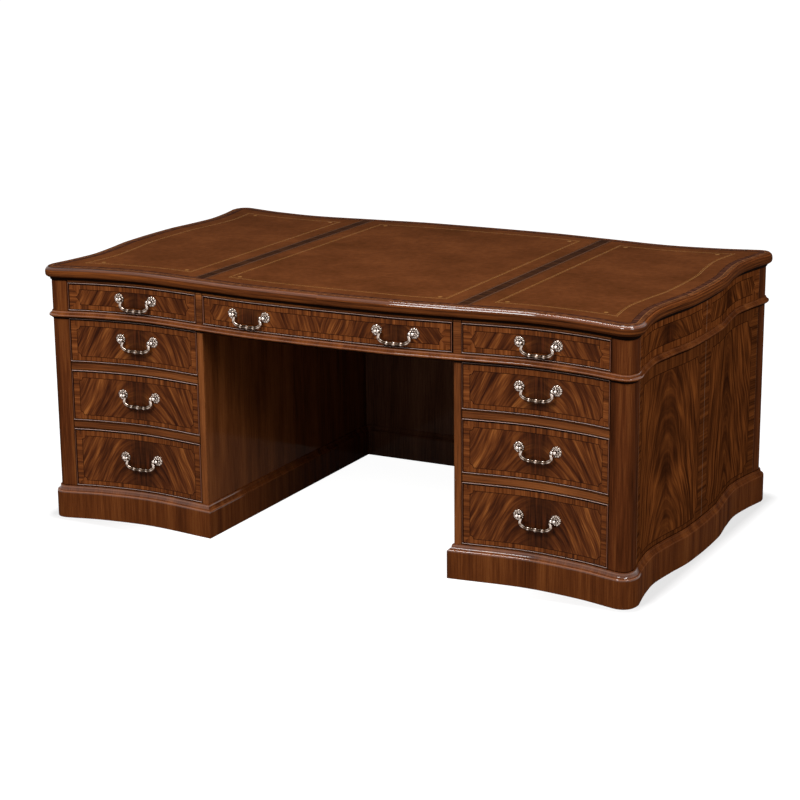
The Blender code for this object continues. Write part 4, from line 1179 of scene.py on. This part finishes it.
def rose_mesh():
    """One rose with its post and ball, at the origin, facing forward."""
    mesh = bmesh.new()
    mesh.verts.layers.float.new("hollow")
    turned(mesh, [(0.0002, -0.0012), (0.0125, -0.0012), (0.0128, 0.0004), (0.0105, 0.0014), (0.0002, 0.0018)],
           lambda p: 1.0)
    petals(mesh, 9, 0.0118, (0.0041, 0.0049, 0.0026), 0.0016, 0.0)
    petals(mesh, 6, 0.0058, (0.0027, 0.0034, 0.0020), 0.0042, math.tau / 12)
    stem = [(0.0002, 0.0020), (0.0046, 0.0024), (0.0040, 0.0052), (0.0033, 0.0066), (0.0037, 0.0078)]
    ball = [(BALL * math.sin(a), POST_REACH - BALL * math.cos(a)) for a in
            (math.radians(50 + 130 * i / 14) for i in range(14))]
    turned(mesh, stem + ball + [(0.0002, POST_REACH + BALL)], lambda p: 1.0 - (-p.y - 0.006) * 130)
    bmesh.ops.remove_doubles(mesh, verts=mesh.verts, dist=0.0004)
    return mesh


BAIL_HALF = [(0.0546, 0.0, 0.0015, 0.9), (0.0516, 0.0, 0.0015, 0.9), (0.0512, 0.0, 0.0030, 0.6),
             (0.0500, -0.0002, 0.0046, 0.1), (0.0474, -0.0005, 0.0052, 0.0), (0.0452, -0.0013, 0.0045, 0.3),
             (0.0440, -0.0030, 0.0034, 0.70), (0.0436, -0.0052, 0.0033, 0.5), (0.0440, -0.0080, 0.0033, 0.2),
             (0.0453, -0.0109, 0.0035, 0.2), (0.0467, -0.0138, 0.0038, 0.2), (0.0474, -0.0168, 0.0042, 0.2),
             (0.0468, -0.0200, 0.0046, 0.3), (0.0446, -0.0230, 0.0050, 0.3), (0.0414, -0.0256, 0.0053, 0.2),
             (0.0378, -0.0278, 0.0055, 0.2), (0.0340, -0.0295, 0.0053, 0.35), (0.0300, -0.0307, 0.0047, 0.55),
             (0.0262, -0.0315, 0.0052, 0.45), (0.0218, -0.0320, 0.0060, 0.12), (0.0175, -0.0322, 0.0052, 0.45),
             (0.0142, -0.0323, 0.0047, 0.55), (0.0108, -0.0324, 0.0052, 0.45), (0.0074, -0.0325, 0.0049, 0.50),
             (0.0040, -0.0325, 0.0057, 0.35), (0.0, -0.0325, 0.0063, 0.12)]


def bail_mesh():
    """The bail about its hinge, hanging straight down."""
    path = through(BAIL_HALF, 3)
    path = path + [(-x, z, radius, hollow) for x, z, radius, hollow in path[-2::-1]]
    mesh = bmesh.new()
    layer = mesh.verts.layers.float.new("hollow")
    last = None
    for i, (x, z, radius, hollow) in enumerate(path):
        before, after = path[max(i - 1, 0)], path[min(i + 1, len(path) - 1)]
        heading = Vector((after[0] - before[0], 0, after[1] - before[1]))
        turn = heading.to_track_quat("Z", "Y").to_matrix().to_4x4()
        middle, ends = Vector((x, 0, z)), i in (0, len(path) - 1)
        ring = bmesh.ops.create_circle(mesh, cap_ends=ends, segments=24, radius=max(radius, 0.0014),
                                       matrix=Matrix.Translation(middle) @ turn)["verts"]
        for k, vert in enumerate(ring):
            groove = max(0.0, math.cos(6 * math.tau * k / 24 + 55 * abs(x))) if -z > 0.020 else 0.0
            vert.co = middle + (vert.co - middle) * (1 - 0.13 * groove)
            vert.co.y *= 0.85
            vert[layer] = min(hollow + 0.55 * groove**2, 1.0)
        edges = list({e for v in ring for e in v.link_edges})
        if last:
            bmesh.ops.bridge_loops(mesh, edges=last + edges)
        last = edges
    return mesh


print("bail of", len(through(BAIL_HALF, 3)) * 2 - 1, "rings")

# %% [markdown]
# The holes for the two posts are bored through the drawer front, square to its face. So each pull is turned
# to the chord between its own two holes. The roses ride with the drawer, and the bail rides on its hinge.

# %% Screw a pull to each drawer
def hang_pull(drawer, bail, x, level):
    """Two roses and a bail at a place across the desk and a level, turned to the face line there."""
    ends = [front_between(x + reach, OUTER)[0] for reach in (-BORING / 2, BORING / 2)]
    chord = ends[1] - ends[0]
    turn = Matrix.Rotation(math.atan2(chord.y, chord.x), 4, "Z")
    middle = (ends[0] + ends[1]) / 2
    seat = Matrix.Translation((middle.x, middle.y, level)) @ turn
    hinge = seat @ Matrix.Translation((0, -POST_REACH, 0))
    for end, where in ((-1, "left"), (1, "right")):
        mesh = rose_mesh()
        bmesh.ops.transform(mesh, matrix=seat @ Matrix.Translation((end * BORING / 2, 0, 0)), verts=mesh.verts)
        finish_piece(f"{bail}_rose_{where}", mesh, brass, [f"{drawer}_front"], drawer,
                     grained=False, crisp=60)
    mesh = bail_mesh()
    bmesh.ops.transform(mesh, matrix=hinge, verts=mesh.verts)
    finish_piece(f"{bail}_cast", mesh, brass, [bail], bail, grained=False, crisp=60)


for name, ((low, high), row) in drawers.items():
    foot, tall = ROWS[row]
    level = foot + CLEAR + tall / 2 + (FRIEZE_LIFT if row == "frieze" else PEDESTAL_LIFT)
    if name == "centre_drawer":
        hang_pull(name, "centre_left_bail", -PULL_PLACE, level)
        hang_pull(name, "centre_right_bail", PULL_PLACE, level)
    else:
        hang_pull(name, name.replace("drawer", "bail"), (low + high) / 2, level)
print("pulls hung")

# %% [markdown]
# ## The plain boards
#
# The boards inside the kneehole and the drawer boxes are simple in shape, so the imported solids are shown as
# they are. They only get their finish: plainer, darker mahogany in the kneehole, where the maker saved the
# figured sheets, and a pale mahogany inside the drawers, which are waxed and not stained.

# %% Finish the boards that are shown as packed
boards = {"frieze_bottom_board": board_mahogany, "modesty_panel": modesty_mahogany,
          "modesty_plinth": modesty_mahogany}
for name in ("left", "right"):
    boards |= {f"{name}_inner_side": kneehole_mahogany, f"{name}_bottom": board_mahogany}
boards |= {f"{name}_box": lining_mahogany for name in drawers}
for name, finish in boards.items():
    for slot in bpy.data.objects[name].material_slots:
        slot.material = finish
print("plain boards", len(boards))
